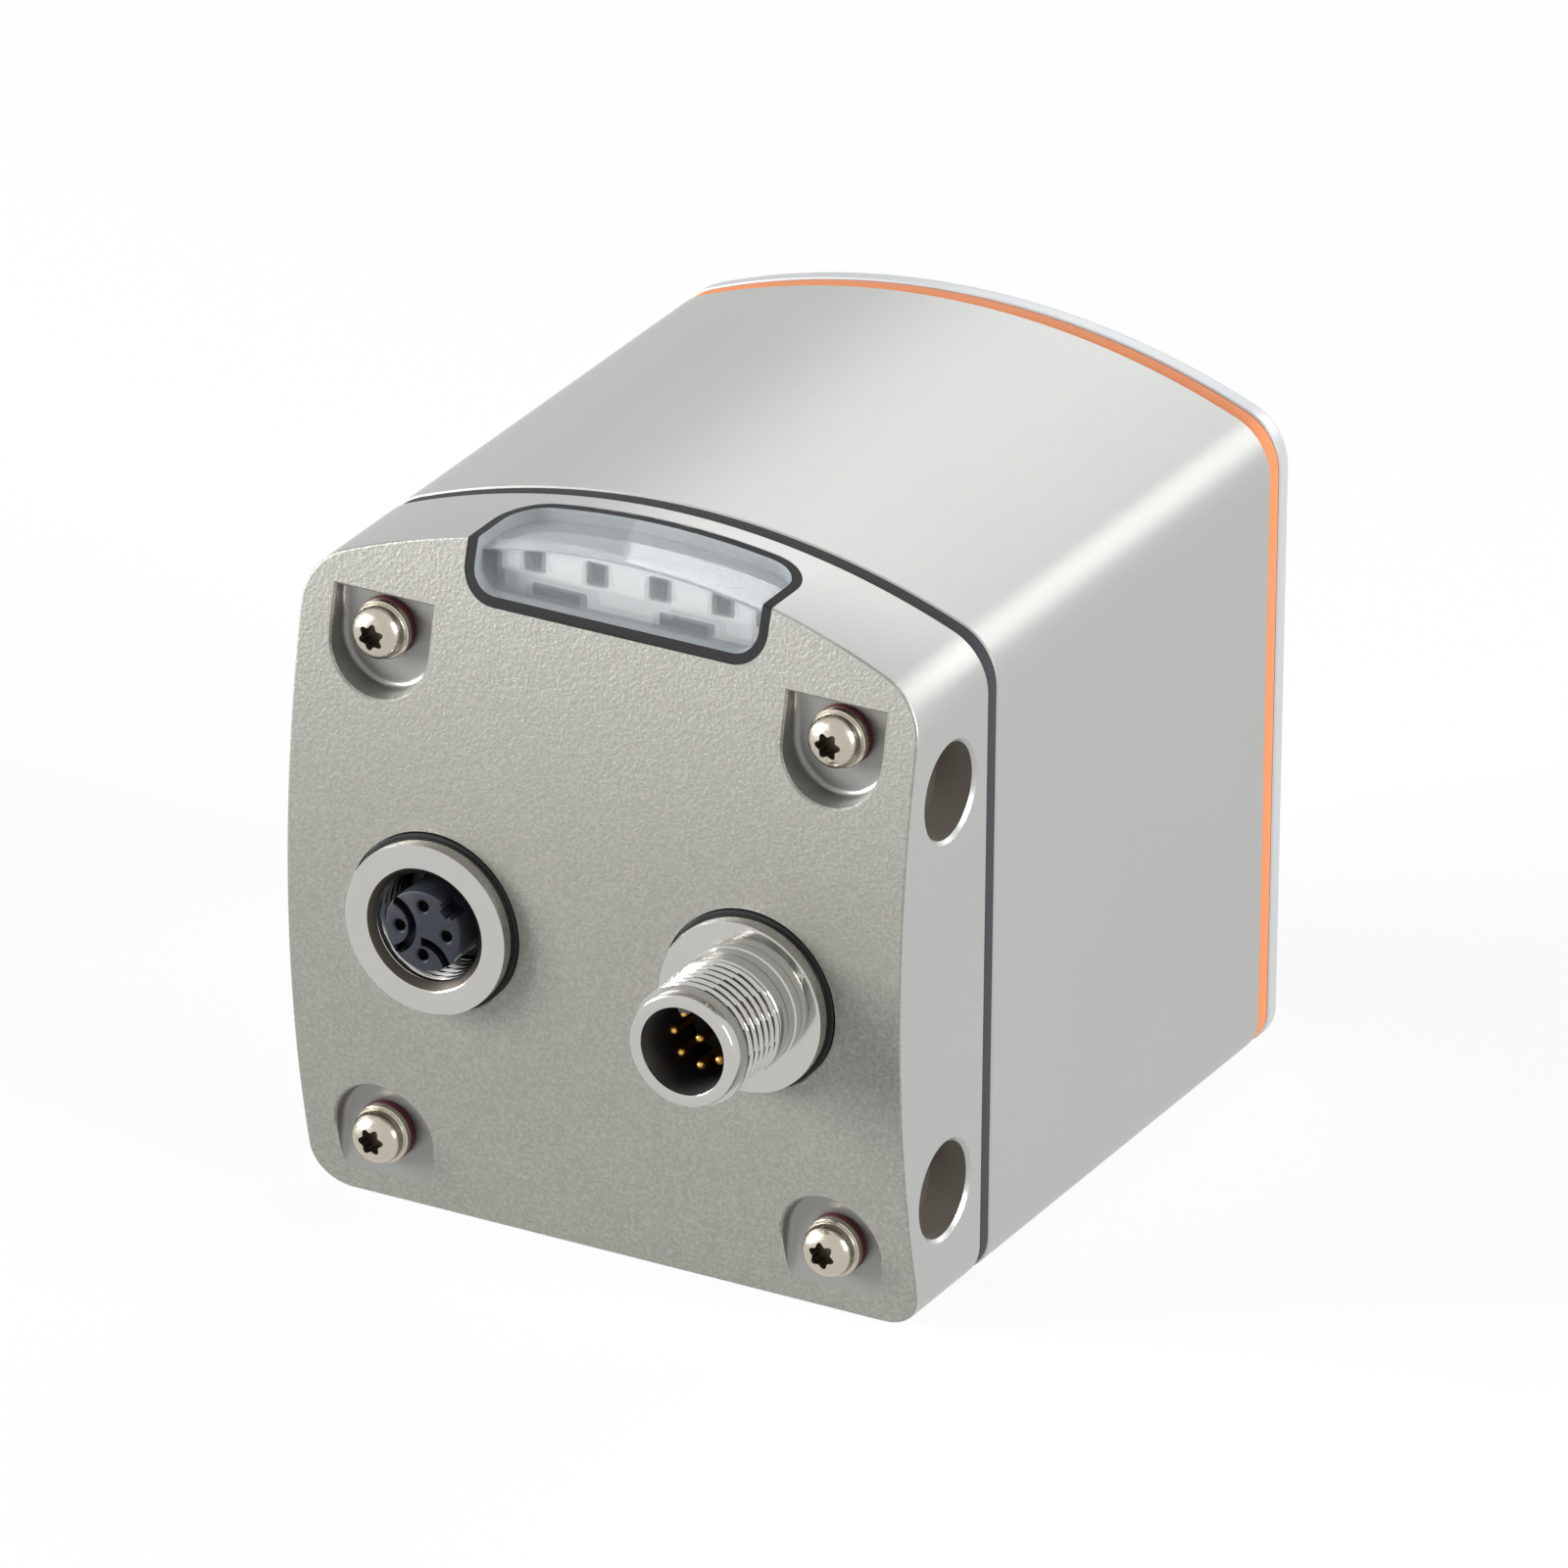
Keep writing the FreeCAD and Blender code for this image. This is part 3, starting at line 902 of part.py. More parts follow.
def main_boards():
    """Processor board and power board, stacked behind the front wall on standoffs."""
    height = f"({BOARD_TOP} - {BOARD_BOTTOM})"
    for label, start in (("processor_board", PROCESSOR_REAR), ("power_board", POWER_REAR)):
        plate = block(f"-{BOARD_HALF}", start, BOARD_BOTTOM, f"2 * {BOARD_HALF}", "board_thickness", height)
        node(label, cut(plate, holes(BOARD_SCREWS, start, "board_screw / 2 + fit", "board_thickness")))
    standoffs = []
    spacers = []
    bore = "(board_screw / 2)"
    reach = f"({BULKHEAD_REAR} - {PROCESSOR_FRONT})"
    for x, z in BOARD_SCREWS:
        bar = hexagon(x, PROCESSOR_FRONT, z, "standoff_width / sqrt(3)", reach)
        stud = rod(x, f"{BULKHEAD_REAR} - stud_length", z, bore, "2 * stud_length")
        standoffs.append(cut(joined([bar, stud]), [rod(x, PROCESSOR_FRONT, z, bore, f"{reach} / 2")]))
        spacers.append(cut(rod(x, POWER_FRONT, z, "spacer_radius", "spacer_length"),
                           [rod(x, POWER_FRONT, z, f"{bore} + fit", "spacer_length")]))
    node("board_standoffs", group(standoffs))
    node("board_spacers", group(spacers))
    cheese_screws("board_screws", BOARD_SCREWS, f"({POWER_REAR} - board_head_height)", "board_head",
                  "board_head_height", "board_screw",
                  f"(2 * board_thickness + spacer_length + {reach} / 3)")
    node("board_header", centred(POWER_FRONT, f"{BOARD_BOTTOM} + header_height * 2",
                                 "header_width", "spacer_length", "header_height"))
    chip_front = f"({PROCESSOR_FRONT} + chip_thickness)"
    node("processor_chip", centred(PROCESSOR_FRONT, EMITTER_HEIGHT, "chip_width", "chip_thickness",
                                   "chip_width"))
    bridge_rear = f"({chip_front} + pad_thickness)"
    bridge_front = f"({bridge_rear} + bridge_thickness)"
    pads = [centred(chip_front, EMITTER_HEIGHT, "chip_width", "pad_thickness", "chip_width"),
            block("-bridge_width / 2", f"{SPREADER_REAR} - pad_thickness",
                  f"{EMITTER_HEIGHT} + chip_width / 2 - bridge_thickness", "bridge_width", "pad_thickness",
                  "bridge_thickness")]
    node("thermal_pads", group(pads))
    plate = centred(bridge_rear, EMITTER_HEIGHT, "bridge_width", "bridge_thickness", "chip_width")
    leg = block("-bridge_width / 2", bridge_rear, f"{EMITTER_HEIGHT} + chip_width / 2 - bridge_thickness",
                "bridge_width", f"{SPREADER_REAR} - pad_thickness - {bridge_rear}", "bridge_thickness")
    node("heat_bridge", joined([plate, leg]))
    memories = [centred(PROCESSOR_FRONT, LENS_HEIGHT, "memory_width", "memory_thickness",
                        "memory_height", x=f"({side} * {MEMORY_X})") for side in SIDES]
    node("memory_chips", group(memories))
    capacitors = [rod(f"{side} * {CAPACITOR_X}", f"{POWER_REAR} - capacitor_length",
                      EMITTER_HEIGHT, "capacitor_radius", "capacitor_length") for side in SIDES]
    node("buffer_capacitors", group(capacitors))
    node("network_transformer", centred(f"{POWER_REAR} - magnetics_depth",
                                        "connector_height - connector_board_height / 2",
                                        "magnetics_width", "magnetics_depth", "magnetics_height",
                                        x=f"(-{CAPACITOR_X})"))


def receiver():
    """Lens barrel in its holder, band-pass filter, imager and imager board."""
    height = LENS_HEIGHT
    mouth = f"({BARREL_FRONT} - mouth_depth)"
    barrel = [("barrel_bore", BARREL_REAR), ("barrel_radius", BARREL_REAR),
              ("barrel_radius", BARREL_FRONT), ("barrel_mouth", BARREL_FRONT), ("barrel_mouth", mouth),
              ("barrel_bore", mouth)]
    node("lens_barrel", turned("0", height, barrel, "Barrel"))
    edge = f"({mouth} + front_lens_edge)"
    front = [("0", mouth), ("barrel_mouth", mouth), ("barrel_mouth", edge), ("retainer_bore", edge),
             *((f"(retainer_bore * {width})", f"({edge} + front_lens_rise * {rise})")
               for width, rise in LENS_CROWN),
             ("0", f"({edge} + front_lens_rise)")]
    node("front_lens", turned("0", height, front, "FrontLens"))
    node("lens_retainer", turned("0", height, [
        ("retainer_bore", edge), ("barrel_mouth", edge), ("barrel_mouth", f"({edge} + retainer_thickness)"),
        ("retainer_bore", f"({edge} + retainer_thickness)")], "Retainer"))
    node("rear_lens", rod("0", f"{BARREL_REAR} + rear_lens_set", height, "barrel_bore",
                          "rear_lens_thickness"))
    plate = centred(f"{BULKHEAD_REAR} - holder_plate", height, "holder_width", "holder_plate",
                    "holder_width")
    tube = rod("0", IMAGER_BOARD_FRONT, height, "holder_tube", "holder_length")
    pillars = [rod(x, IMAGER_BOARD_FRONT, z, "pillar_radius", "holder_length - holder_plate")
               for x, z in HOLDER_SCREWS]
    cuts = [rod("0", BARREL_REAR, height, "barrel_radius", "holder_length"),
            rod("0", IMAGER_BOARD_FRONT, height, "filter_radius", "holder_step")]
    cuts += holes(HOLDER_SCREWS, IMAGER_BOARD_FRONT, "small_screw / 2", "small_grip + board_thickness")
    cuts += holes(HOLDER_SCREWS_PLATE, f"{BULKHEAD_REAR} - holder_plate", "small_screw / 2", "holder_plate")
    node("lens_holder", cut(joined([plate, tube] + pillars), cuts))
    cheese_screws("holder_screws", HOLDER_SCREWS_PLATE, f"({BULKHEAD_REAR} - holder_plate"
                  " - small_head_height)", "small_head", "small_head_height", "small_screw",
                  "(holder_plate + small_grip - fit)")
    node("band_pass_filter", rod("0", f"{BARREL_REAR} - filter_thickness", height, "filter_radius",
                                 "filter_thickness"))
    node("imager_chip", centred(IMAGER_BOARD_FRONT, height, "imager_width", "imager_thickness",
                                "imager_height"))
    board = centred(IMAGER_BOARD_REAR, height, "imager_board_width", "board_thickness",
                    "imager_board_width")
    node("imager_board", cut(board, holes(HOLDER_SCREWS, IMAGER_BOARD_REAR, "small_screw / 2 + fit",
                                          "board_thickness")))
    cheese_screws("imager_screws", HOLDER_SCREWS, f"({IMAGER_BOARD_REAR} - small_head_height)",
                  "small_head", "small_head_height", "small_screw", "(board_thickness + small_grip)")
    node("imager_header", centred(PROCESSOR_FRONT, f"{height} + memory_height / 2", "header_width",
                                  "imager_gap", "header_height"))


def illumination():
    """Emitters on their board, reflector cups in the port, diffuser and heat spreader."""
    height = EMITTER_HEIGHT
    reflector = centred(BULKHEAD_REAR, height, f"{PORT_WIDTH} - 2 * fit", "bulkhead",
                        "port_height - 2 * fit")
    cups = [cone(x, BULKHEAD_REAR, height, f"{CUP_RADIUS} * cup_narrowing", CUP_RADIUS, "bulkhead")
            for x in EMITTERS]
    node("emitter_reflector", cut(reflector, cups))
    size = f"(2 * {CUP_RADIUS} * cup_narrowing * emitter_share)"
    emitters = [centred(BULKHEAD_REAR, height, size, "emitter_thickness", size, x=x) for x in EMITTERS]
    node("emitter_chips", group(emitters))
    node("emitter_diffuser", centred(HOUSING_FRONT, height, f"{PORT_WIDTH} + 2 * diffuser_lap",
                                     "diffuser_thickness", "port_height + 2 * diffuser_lap"))
    board = centred(LAMP_BOARD_REAR, height, LAMP_BOARD_WIDTH, "board_thickness", "lamp_board_rise")
    spreader = centred(SPREADER_REAR, height, LAMP_BOARD_WIDTH, "spreader_thickness",
                       "lamp_board_rise")
    node("illumination_board", cut(board, holes(LAMP_SCREWS, LAMP_BOARD_REAR, "small_screw / 2 + fit",
                                                "board_thickness")))
    node("heat_spreader", cut(spreader, holes(LAMP_SCREWS, SPREADER_REAR, "small_screw / 2 + fit",
                                              "spreader_thickness")))
    cheese_screws("illumination_screws", LAMP_SCREWS, f"({SPREADER_REAR} - small_head_height)",
                  "small_head", "small_head_height", "small_screw",
                  "(spreader_thickness + board_thickness + small_grip - fit)")


main_housing()
rear_cover()
gaskets()
front_cover()
rear_screws()
indicators()
power_plug()
network_socket()
connector_board()
main_boards()
receiver()
illumination()

document.recompute()
for item in document.Objects:
    if "Invalid" in item.State or "Error" in item.State:
        raise RuntimeError(f"{item.Label} ({item.Name}) failed: {item.State}")
for item in nodes:
    if item.Shape.isNull() or not item.Shape.isValid() or not item.Shape.Solids:
        raise RuntimeError(f"{item.Label} has no valid shape")

os.makedirs("parts", exist_ok=True)
for item in nodes:
    item.Shape.exportStep(f"parts/{item.Label}.step")
    print(f"{item.Label}: {len(item.Shape.Solids)} solids, {item.Shape.Volume:.1f} mm3")
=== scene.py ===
"""Looks of the depth vision sensor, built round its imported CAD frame. Metres, +Z up."""

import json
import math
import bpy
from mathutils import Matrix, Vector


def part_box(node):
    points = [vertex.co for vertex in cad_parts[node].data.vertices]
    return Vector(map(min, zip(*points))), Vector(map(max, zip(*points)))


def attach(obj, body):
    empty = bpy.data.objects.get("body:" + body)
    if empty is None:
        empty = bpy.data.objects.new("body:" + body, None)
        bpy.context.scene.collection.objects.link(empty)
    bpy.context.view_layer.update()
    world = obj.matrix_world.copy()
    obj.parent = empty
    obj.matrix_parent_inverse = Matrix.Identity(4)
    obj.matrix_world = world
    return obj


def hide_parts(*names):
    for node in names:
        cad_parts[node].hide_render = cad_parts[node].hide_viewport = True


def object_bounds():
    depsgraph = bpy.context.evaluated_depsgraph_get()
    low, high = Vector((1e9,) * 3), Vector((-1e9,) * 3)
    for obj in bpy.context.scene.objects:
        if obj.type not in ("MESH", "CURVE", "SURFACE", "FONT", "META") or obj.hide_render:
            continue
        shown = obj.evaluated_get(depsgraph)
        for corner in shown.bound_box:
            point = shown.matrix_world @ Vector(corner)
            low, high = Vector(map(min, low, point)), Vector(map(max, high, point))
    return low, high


bl_info = {
    "name": "Depth Vision Sensor",
    "version": (1, 0, 0),
    "blender": (4, 5, 0),
    "location": "View3D > Sidebar > Sensor",
    "description": "Dresses the packed depth vision sensor with its finishes and fine detail",
    "category": "Object",
}

import bmesh
import bpy
from bpy.props import FloatProperty, FloatVectorProperty, IntProperty, PointerProperty
from mathutils import Matrix, Vector, noise

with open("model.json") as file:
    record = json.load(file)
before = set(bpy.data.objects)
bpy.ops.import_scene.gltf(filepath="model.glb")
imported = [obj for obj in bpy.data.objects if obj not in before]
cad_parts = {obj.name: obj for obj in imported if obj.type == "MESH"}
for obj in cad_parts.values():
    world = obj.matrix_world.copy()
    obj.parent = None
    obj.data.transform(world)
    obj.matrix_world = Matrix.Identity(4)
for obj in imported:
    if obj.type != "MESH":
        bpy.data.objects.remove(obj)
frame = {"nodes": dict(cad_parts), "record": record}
CAD_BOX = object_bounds()
MM = 0.001
BODY = "root"
HOUSING_LOW, HOUSING_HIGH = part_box("main_housing")
COVER_LOW, COVER_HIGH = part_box("rear_cover")
FRONT_LOW, FRONT_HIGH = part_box("front_cover")
SEAL_LOW, SEAL_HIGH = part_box("front_seal_ring")
GASKET_LOW, GASKET_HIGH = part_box("rear_gasket")
GLASS_LOW, GLASS_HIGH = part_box("front_glass")
PLUG_LOW, PLUG_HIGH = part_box("power_plug_shell")
PLUG_CORE_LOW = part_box("power_plug_insert")[0]
PINS_LOW, PINS_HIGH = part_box("power_plug_pins")
SOCKET_LOW, SOCKET_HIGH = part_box("network_socket_shell")
CORE_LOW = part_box("network_socket_insert")[0]
CONTACT_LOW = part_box("network_socket_contacts")[0]
HOLDER_LOW, HOLDER_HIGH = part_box("indicator_holder")
WASHER_LOW, WASHER_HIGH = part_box("sealing_washers")
SCREW_LOW, SCREW_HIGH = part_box("rear_screws")
HALF_TURN = math.pi
FULL_TURN = 2 * math.pi
# Faces that meet at more than this angle keep a crisp edge.
CRISP = math.radians(32.0)
# How far tools reach past the faces that they cut, and places along Y that are behind the whole object.
PAST = 0.001
WELL_PAST = 0.01
BEHIND = -0.06
FAR_BEHIND = -0.1
# Points closer than this are one, and no ring is narrower than this.
WELD = 1e-7
LEAST_RING = 1e-6
# Steps along a side and over half of the top: for hidden edges, for long edges and for the domed face.
PLAIN_STEPS = (24, 32)
LONG_STEPS = (24, 64)
DOME_STEPS = (60, 48)


def middle(low, high):
    """Middle of a box."""
    return (low + high) / 2


def axis_of(node):
    """Place of a round node's axis, which runs along Y."""
    centre = middle(*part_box(node))
    return centre.x, 0, centre.z


def length(note, value):
    """Length property whose default is given in millimetres."""
    return FloatProperty(name=note, default=value * MM, unit="LENGTH", precision=5)


def turn(note, value):
    """Angle property whose default is given in degrees."""
    return FloatProperty(name=note, default=math.radians(value), subtype="ANGLE")


def linear(code):
    """Linear colour of an sRGB hex code."""
    parts = [int(code[place:place + 2], 16) / 255 for place in (1, 3, 5)]
    return [part / 12.92 if part <= 0.04045 else ((part + 0.055) / 1.055) ** 2.4 for part in parts]


def tint(note, code):
    """Colour property whose default is an sRGB hex code."""
    return FloatVectorProperty(name=note, subtype="COLOR", size=3, default=linear(code), min=0, max=1)


class SensorOutline(bpy.types.PropertyGroup):
    """Outline that housing, gaskets and covers share."""
    top_radius: length("Radius of the arched top", 78.8)
    shoulder_radius: length("Corner between a side and the top", 6.0)
    foot_radius: length("Corner between a side and the base", 4.1)
    least_radius: length("Smallest corner of an inset outline", 0.4)
    wall: length("Wall of the main housing", 3.2)
    bulkhead: length("Front wall of the main housing", 4.0)
    rim: length("Broken edge round each end", 0.15)
    seal_inset: length("Orange ring's edge, below the housing", 0.1)
    gasket_inset: length("Rear gasket's edge, below the housing", 0.15)
    front_rim: length("Rounded rim of the front cover", 0.7)
    port_radius: length("Radius of the lens port in the bulkhead", 7.1)


class SensorCover(bpy.types.PropertyGroup):
    """Rear cover and its screws."""
    dome_radius: length("Radius of the domed face", 122.7)
    dome_height: length("Dome's axis above the base", 35.6)
    edge_radius: length("Rounded edge round the domed face", 0.22)
    same_way: FloatProperty(name="Least cosine at which a face counts as dome", default=0.998)
    recess_floor: length("Recess floors above the front plane", 12.03)
    recess_radius: length("Rounded end of a recess", 5.15)
    recess_span: length("Recesses, middle to middle", 47.9)
    recess_high: length("Centre of the upper rounded ends", 58.55)
    recess_low: length("Centre of the lower rounded ends", 7.75)
    recess_end: length("Upper recesses, centre to their straight end", 4.65)
    recess_fillet: length("Fillet round the recess floors", 0.7)
    recess_draft: turn("Draft of the recess walls", 3.0)
    recess_lip: length("Broken edge at the recess mouths", 0.2)
    side_hole_radius: length("Radius of the mounting holes", 4.75)
    side_hole_depth: length("Depth of the mounting holes", 4.0)
    side_hole_chamfer: length("Chamfer at their mouths", 0.35)
    side_hole_set: length("Holes behind the front plane", 7.2)
    side_hole_high: length("Upper mounting holes above the base", 53.75)
    side_hole_low: length("Lower mounting holes above the base", 12.9)
    spot_radius: length("Radius of the connector seats", 9.1)
    neck_radius: length("Radius of the connector holes", 8.1)
    wall: length("Wall behind the dome", 3.4)
    nut_seat: length("Inner face that the connector nuts bear on", -41.185)
    cavity_half: length("Narrow inner space, half width", 18.0)
    cavity_low: length("Narrow inner space, lower end", 4.5)
    cavity_high: length("Narrow inner space, upper end", 61.0)
    span_half: length("Wide inner space between the mounting holes, half width", 28.6)
    span_low: length("Wide inner space, lower end", 18.9)
    span_high: length("Wide inner space, upper end", 47.6)
    screw_span: length("Screws, side to side", 48.32)
    screw_high: length("Upper screws above the base", 59.7)
    screw_low: length("Lower screws above the base", 7.6)
    head_radius: length("Screws' pan head, radius", 2.6)
    head_height: length("Screws' pan head, height", 2.0)
    collar_radius: length("Washer face under the head, radius", 2.9)
    collar_height: length("Washer face under the head, height", 0.8)
    shank_radius: length("Radius of the screws' thread", 1.5)
    washer_radius: length("Radius of the red sealing washers", 2.96)
    lobe_radius: length("Six-lobe recess, mean radius", 1.16)
    lobe_swing: length("Six-lobe recess, depth of its waves", 0.19)
    lobe_depth: length("Six-lobe recess, depth", 1.6)


class SensorConnectors(bpy.types.PropertyGroup):
    """Round plug and socket."""
    flange_radius: length("Radius of both flanges", 8.6)
    flange_thickness: length("Thickness of both flanges", 1.9)
    flange_face: length("Place of the plug's flange face along Y", -47.485)
    spot_face: length("Place of the connector seats along Y", -44.885)
    flange_edge: length("Rounded edge of the flanges", 0.3)
    neck_radius: length("Radius of the bodies behind the flanges", 8.0)
    thread_radius: length("Radius at the plug's thread crest", 6.0)
    thread_depth: length("Depth of both threads", 0.5)
    pitch: length("Pitch of both threads", 1.0)
    thread_end: length("Plug's thread, behind the tip", 8.1)
    tip_radius: length("Plug's unthreaded tip, radius", 5.6)
    tip_length: length("Plug's unthreaded tip, length", 1.5)
    bore_radius: length("Radius of the plug's bore", 4.325)
    key_height: length("Coding key in the bore, height", 0.7)
    key_width: length("Coding key in the bore, width", 1.3)
    key_angle: turn("Coding key from +X towards +Z", 92.7)
    pin_radius: length("Radius of the plug's pins", 0.5)
    pin_circle: length("Radius of the outer pins' circle", 2.75)
    pin_step: turn("Angle between the outer pins", 48.0)
    outer_pins: IntProperty(name="Pins round the middle one", default=7)
    groove_set: length("Fine groove above the plug's flange", 1.3)
    mouth_radius: length("Radius of the socket's chamfered mouth", 6.25)
    minor_radius: length("Radius of the socket's bore inside its thread", 5.45)
    well_depth: length("Depth of the socket's annular space", 8.5)
    core_radius: length("Radius of the socket's insert", 4.05)
    contact_circle: length("Radius of the contacts' circle", 2.5)
    contact_bore: length("Radius of the contact openings", 0.6)
    slot_radius: length("Curved slots of the socket's insert, radius", 2.65)
    slot_width: length("Curved slots of the socket's insert, width", 0.9)
    slot_set: length("Middle of the insert to the slots' centres", 3.75)
    contact_radius: length("Radius of the contact sleeves", 0.85)


class SensorIndicator(bpy.types.PropertyGroup):
    """Window in the rear cover's upper edge."""
    half_width: length("Gasket, middle to side", 16.05)
    bottom: length("Gasket's lower edge above the base", 64.4)
    front: length("Gasket's far edge, behind the cover's front plane", 2.3)
    low_corner: length("Gasket's corners on the domed face", 3.5)
    high_corner: length("Gasket's corners on the top", 4.5)
    rim: length("Gasket, outer to inner edge", 1.0)
    depth: length("Thickness of window and gasket", 1.4)
    under: length("Opening's edge beyond the gasket's inner edge", 0.7)
    roof: length("Metal over the holder", 0.2)
    sink: length("Window's face below the cover's", 0.06)
    ripple: length("Unevenness of the pressed-in gasket", 0.2)
    ripple_grain: length("Length of the gasket's waves", 1.3)
    pitch: length("Lamps, middle to middle", 6.65)
    slot_width: length("Slots before the lamps, width", 2.4)
    slot_height: length("Slots before the lamps, height", 2.45)
    slot_gap: length("Face's lower edge to slots", 0.25)
    face_height: length("Slotted face above the set-back", 3.25)
    slot_depth: length("Slots and openings, to their shaded floors", 0.3)
    set_back: length("Lower part behind the slotted face", 0.5)
    opening_width: length("Openings in the lower part, width", 5.9)
    opening_gap: length("Slotted face to openings", 1.0)
    opening_height: length("Openings in the lower part, height", 2.2)
    opening_left: length("Left opening's middle along X", -7.6)
    opening_right: length("Right opening's middle along X", 5.9)


class SensorStage(bpy.types.PropertyGroup):
    """Camera, lamps and floor."""
    azimuth: turn("Camera's turn about +Z", 28.563)
    elevation: turn("Camera's height angle", 24.898)
    roll: turn("Camera's roll", 0.607)
    distance: length("Camera to target", 1784.9)
    target: FloatVectorProperty(name="Point that the camera looks at", size=3, subtype="XYZ",
                                default=(0.021306, -0.047485, 0.056464))
    lens: FloatProperty(name="Focal length in millimetres", default=446.52)
    floor_half: length("Half width of the floor", 3000.0)
    ambient: FloatProperty(name="Strength of the soft surround", default=0.03)
    glow: FloatProperty(name="Share of the floor that glows white", default=0.88)


class SensorFinish(bpy.types.PropertyGroup):
    """Colours of the finishes."""
    housing: tint("Satin housing metal", "#A8A9A6")
    blasted: tint("Blasted rear face", "#888781")
    cast: tint("As-cast screw recesses", "#8D8D8A")
    bored: tint("Bored mounting holes", "#827C74")
    bored_deep: tint("Bottoms of the mounting holes, where little light reaches", "#59544E")
    # Painted light: the seat is made pale and blue-grey to show as lit through the window.
    seat: tint("Metal under the indicator window, with painted light", "#858B8F")
    machined: tint("Milled sides of the rear cover", "#A8A9A6")
    front: tint("Pale front cover", "#B9BCBE")
    orange: tint("Orange silicone", "#D78351")
    gasket: tint("Grey rubber", "#3C3E40")
    black: tint("Black rubber of the seals and the window's gasket", "#141415")
    nickel: tint("Nickel-plated connectors", "#BDBCB8")
    # Painted shade: nickel darkened for the thread roots and the socket's chamfer.
    nickel_root: tint("Nickel with painted shade in the thread roots", "#413D38")
    # Painted shade: steel darkened inside the screws' drive.
    drive: tint("Painted shade in the screws' drive", "#6A6358")
    steel: tint("Stainless screws", "#BBB4A6")
    # Partly painted shade: the fibre's dark red made darker for the shade under the screw heads.
    red: tint("Red fibre washers", "#4E1317")
    gold: tint("Gold-plated pins", "#D9A95A")
    plug_core: tint("Moulded black insert", "#2E2F30")
    # Partly painted shade: the nylon's blue-grey made darker for the shade on the insert's side wall deep in
    # the socket.
    socket_core: tint("Moulded blue-grey insert", "#1F242C")
    white: tint("Indicator holder", "#C4C6C6")
    slot: tint("Shaded slots of the indicator holder", "#474C4D")
    window: tint("Clear indicator window", "#F1F5F7")
    edge: tint("Side walls of the indicator window", "#8F9599")
    glass: tint("Dark front glass", "#0B0B0D")
    floor: tint("Pale floor", "#F4F4F4")


def arc(x, z, radius, start, end, steps):
    """Points on an arc, both ends included."""
    return [(x + radius * math.cos(start + (end - start) * step / steps),
             z + radius * math.sin(start + (end - start) * step / steps)) for step in range(steps + 1)]


def quarter(steps):
    """Angles of a quarter turn, both ends included."""
    return [HALF_TURN / 2 * step / steps for step in range(steps + 1)]


def outline(inset, side_steps, top_steps):
    """Housing outline from the base's right end, up, over the arch and down the left side."""
    sizes = bpy.context.scene.sensor_outline
    half = HOUSING_HIGH.x - inset
    crown = sizes.top_radius - inset
    shoulder = max(sizes.shoulder_radius - inset, sizes.least_radius)
    foot = max(sizes.foot_radius - inset, sizes.least_radius)
    centre = HOUSING_HIGH.z - sizes.top_radius
    shoulder_x = half - shoulder
    shoulder_z = centre + math.sqrt((crown - shoulder) ** 2 - shoulder_x ** 2)
    foot_z = inset + foot
    lean = math.atan2(shoulder_z - centre, shoulder_x)
    right = arc(half - foot, foot_z, foot, -HALF_TURN / 2, 0, 8)
    rise = shoulder_z - foot_z
    right += [(half, foot_z + rise * step / side_steps) for step in range(1, side_steps)]
    right += arc(shoulder_x, shoulder_z, shoulder, 0, lean, 10)
    right += arc(0, centre, crown, lean, HALF_TURN / 2, top_steps)[1:]
    return right + [(-x, z) for x, z in reversed(right[:-1])]


def finish_mesh(name, sketch):
    """Object from a bmesh, with its normals facing out."""
    bmesh.ops.remove_doubles(sketch, verts=sketch.verts, dist=WELD)
    bmesh.ops.recalc_face_normals(sketch, faces=sketch.faces)
    mesh = bpy.data.meshes.new(name)
    sketch.to_mesh(mesh)
    sketch.free()
    piece = bpy.data.objects.new(name, mesh)
    bpy.context.scene.collection.objects.link(piece)
    return piece


def lofted(name, rings, start="flat", end="flat", wrap=False):
    """Skin through rings with equal point counts. An end is flat, in mirrored rows, or open."""
    sketch = bmesh.new()
    rows = [[sketch.verts.new(point) for point in ring] for ring in rings]
    count = len(rows[0])
    pairs = list(zip(rows, rows[1:]))
    if wrap:
        pairs.append((rows[-1], rows[0]))
    for first, second in pairs:
        for place in range(count):
            following = (place + 1) % count
            sketch.faces.new((first[place], first[following], second[following], second[place]))
    for cap, row in ((start, rows[0]), (end, rows[-1])):
        if cap == "flat" and not wrap:
            sketch.faces.new(row)
        elif cap == "rows":
            for place in range(count // 2):
                corners = (row[place], row[place + 1], row[count - 2 - place], row[count - 1 - place])
                sketch.faces.new(list(dict.fromkeys(corners)))
    return finish_mesh(name, sketch)


def level(points, y):
    """Outline points at one distance along Y."""
    return [(x, y, z) for x, z in points]


def arched(name, steps, detail=PLAIN_STEPS, wrap=False):
    """Skin through the housing's outline at (inset, distance along Y) steps."""
    return lofted(name, [level(outline(inset, *detail), y) for inset, y in steps], wrap=wrap)


def circle_ring(radius, along, x, y, z, steps, axis):
    """Ring of points about an axis through a place."""
    ring = []
    for step in range(steps):
        angle = FULL_TURN * step / steps
        across = radius * math.cos(angle)
        up = radius * math.sin(angle)
        ring.append((x + across, along, z + up) if axis == "Y" else (along, y + across, z + up))
    return ring


def rings_of(profile, place, steps=96, axis="Y"):
    """Rings about an axis from (radius, distance along the axis) points."""
    return [circle_ring(max(radius, LEAST_RING), along, *place, steps, axis) for radius, along in profile]


def turned(name, profile, place, steps=96, wrap=False, axis="Y"):
    """Turned piece from (radius, distance along the axis) points; the ends are flat unless wrapped."""
    return lofted(name, rings_of(profile, place, steps, axis), wrap=wrap)


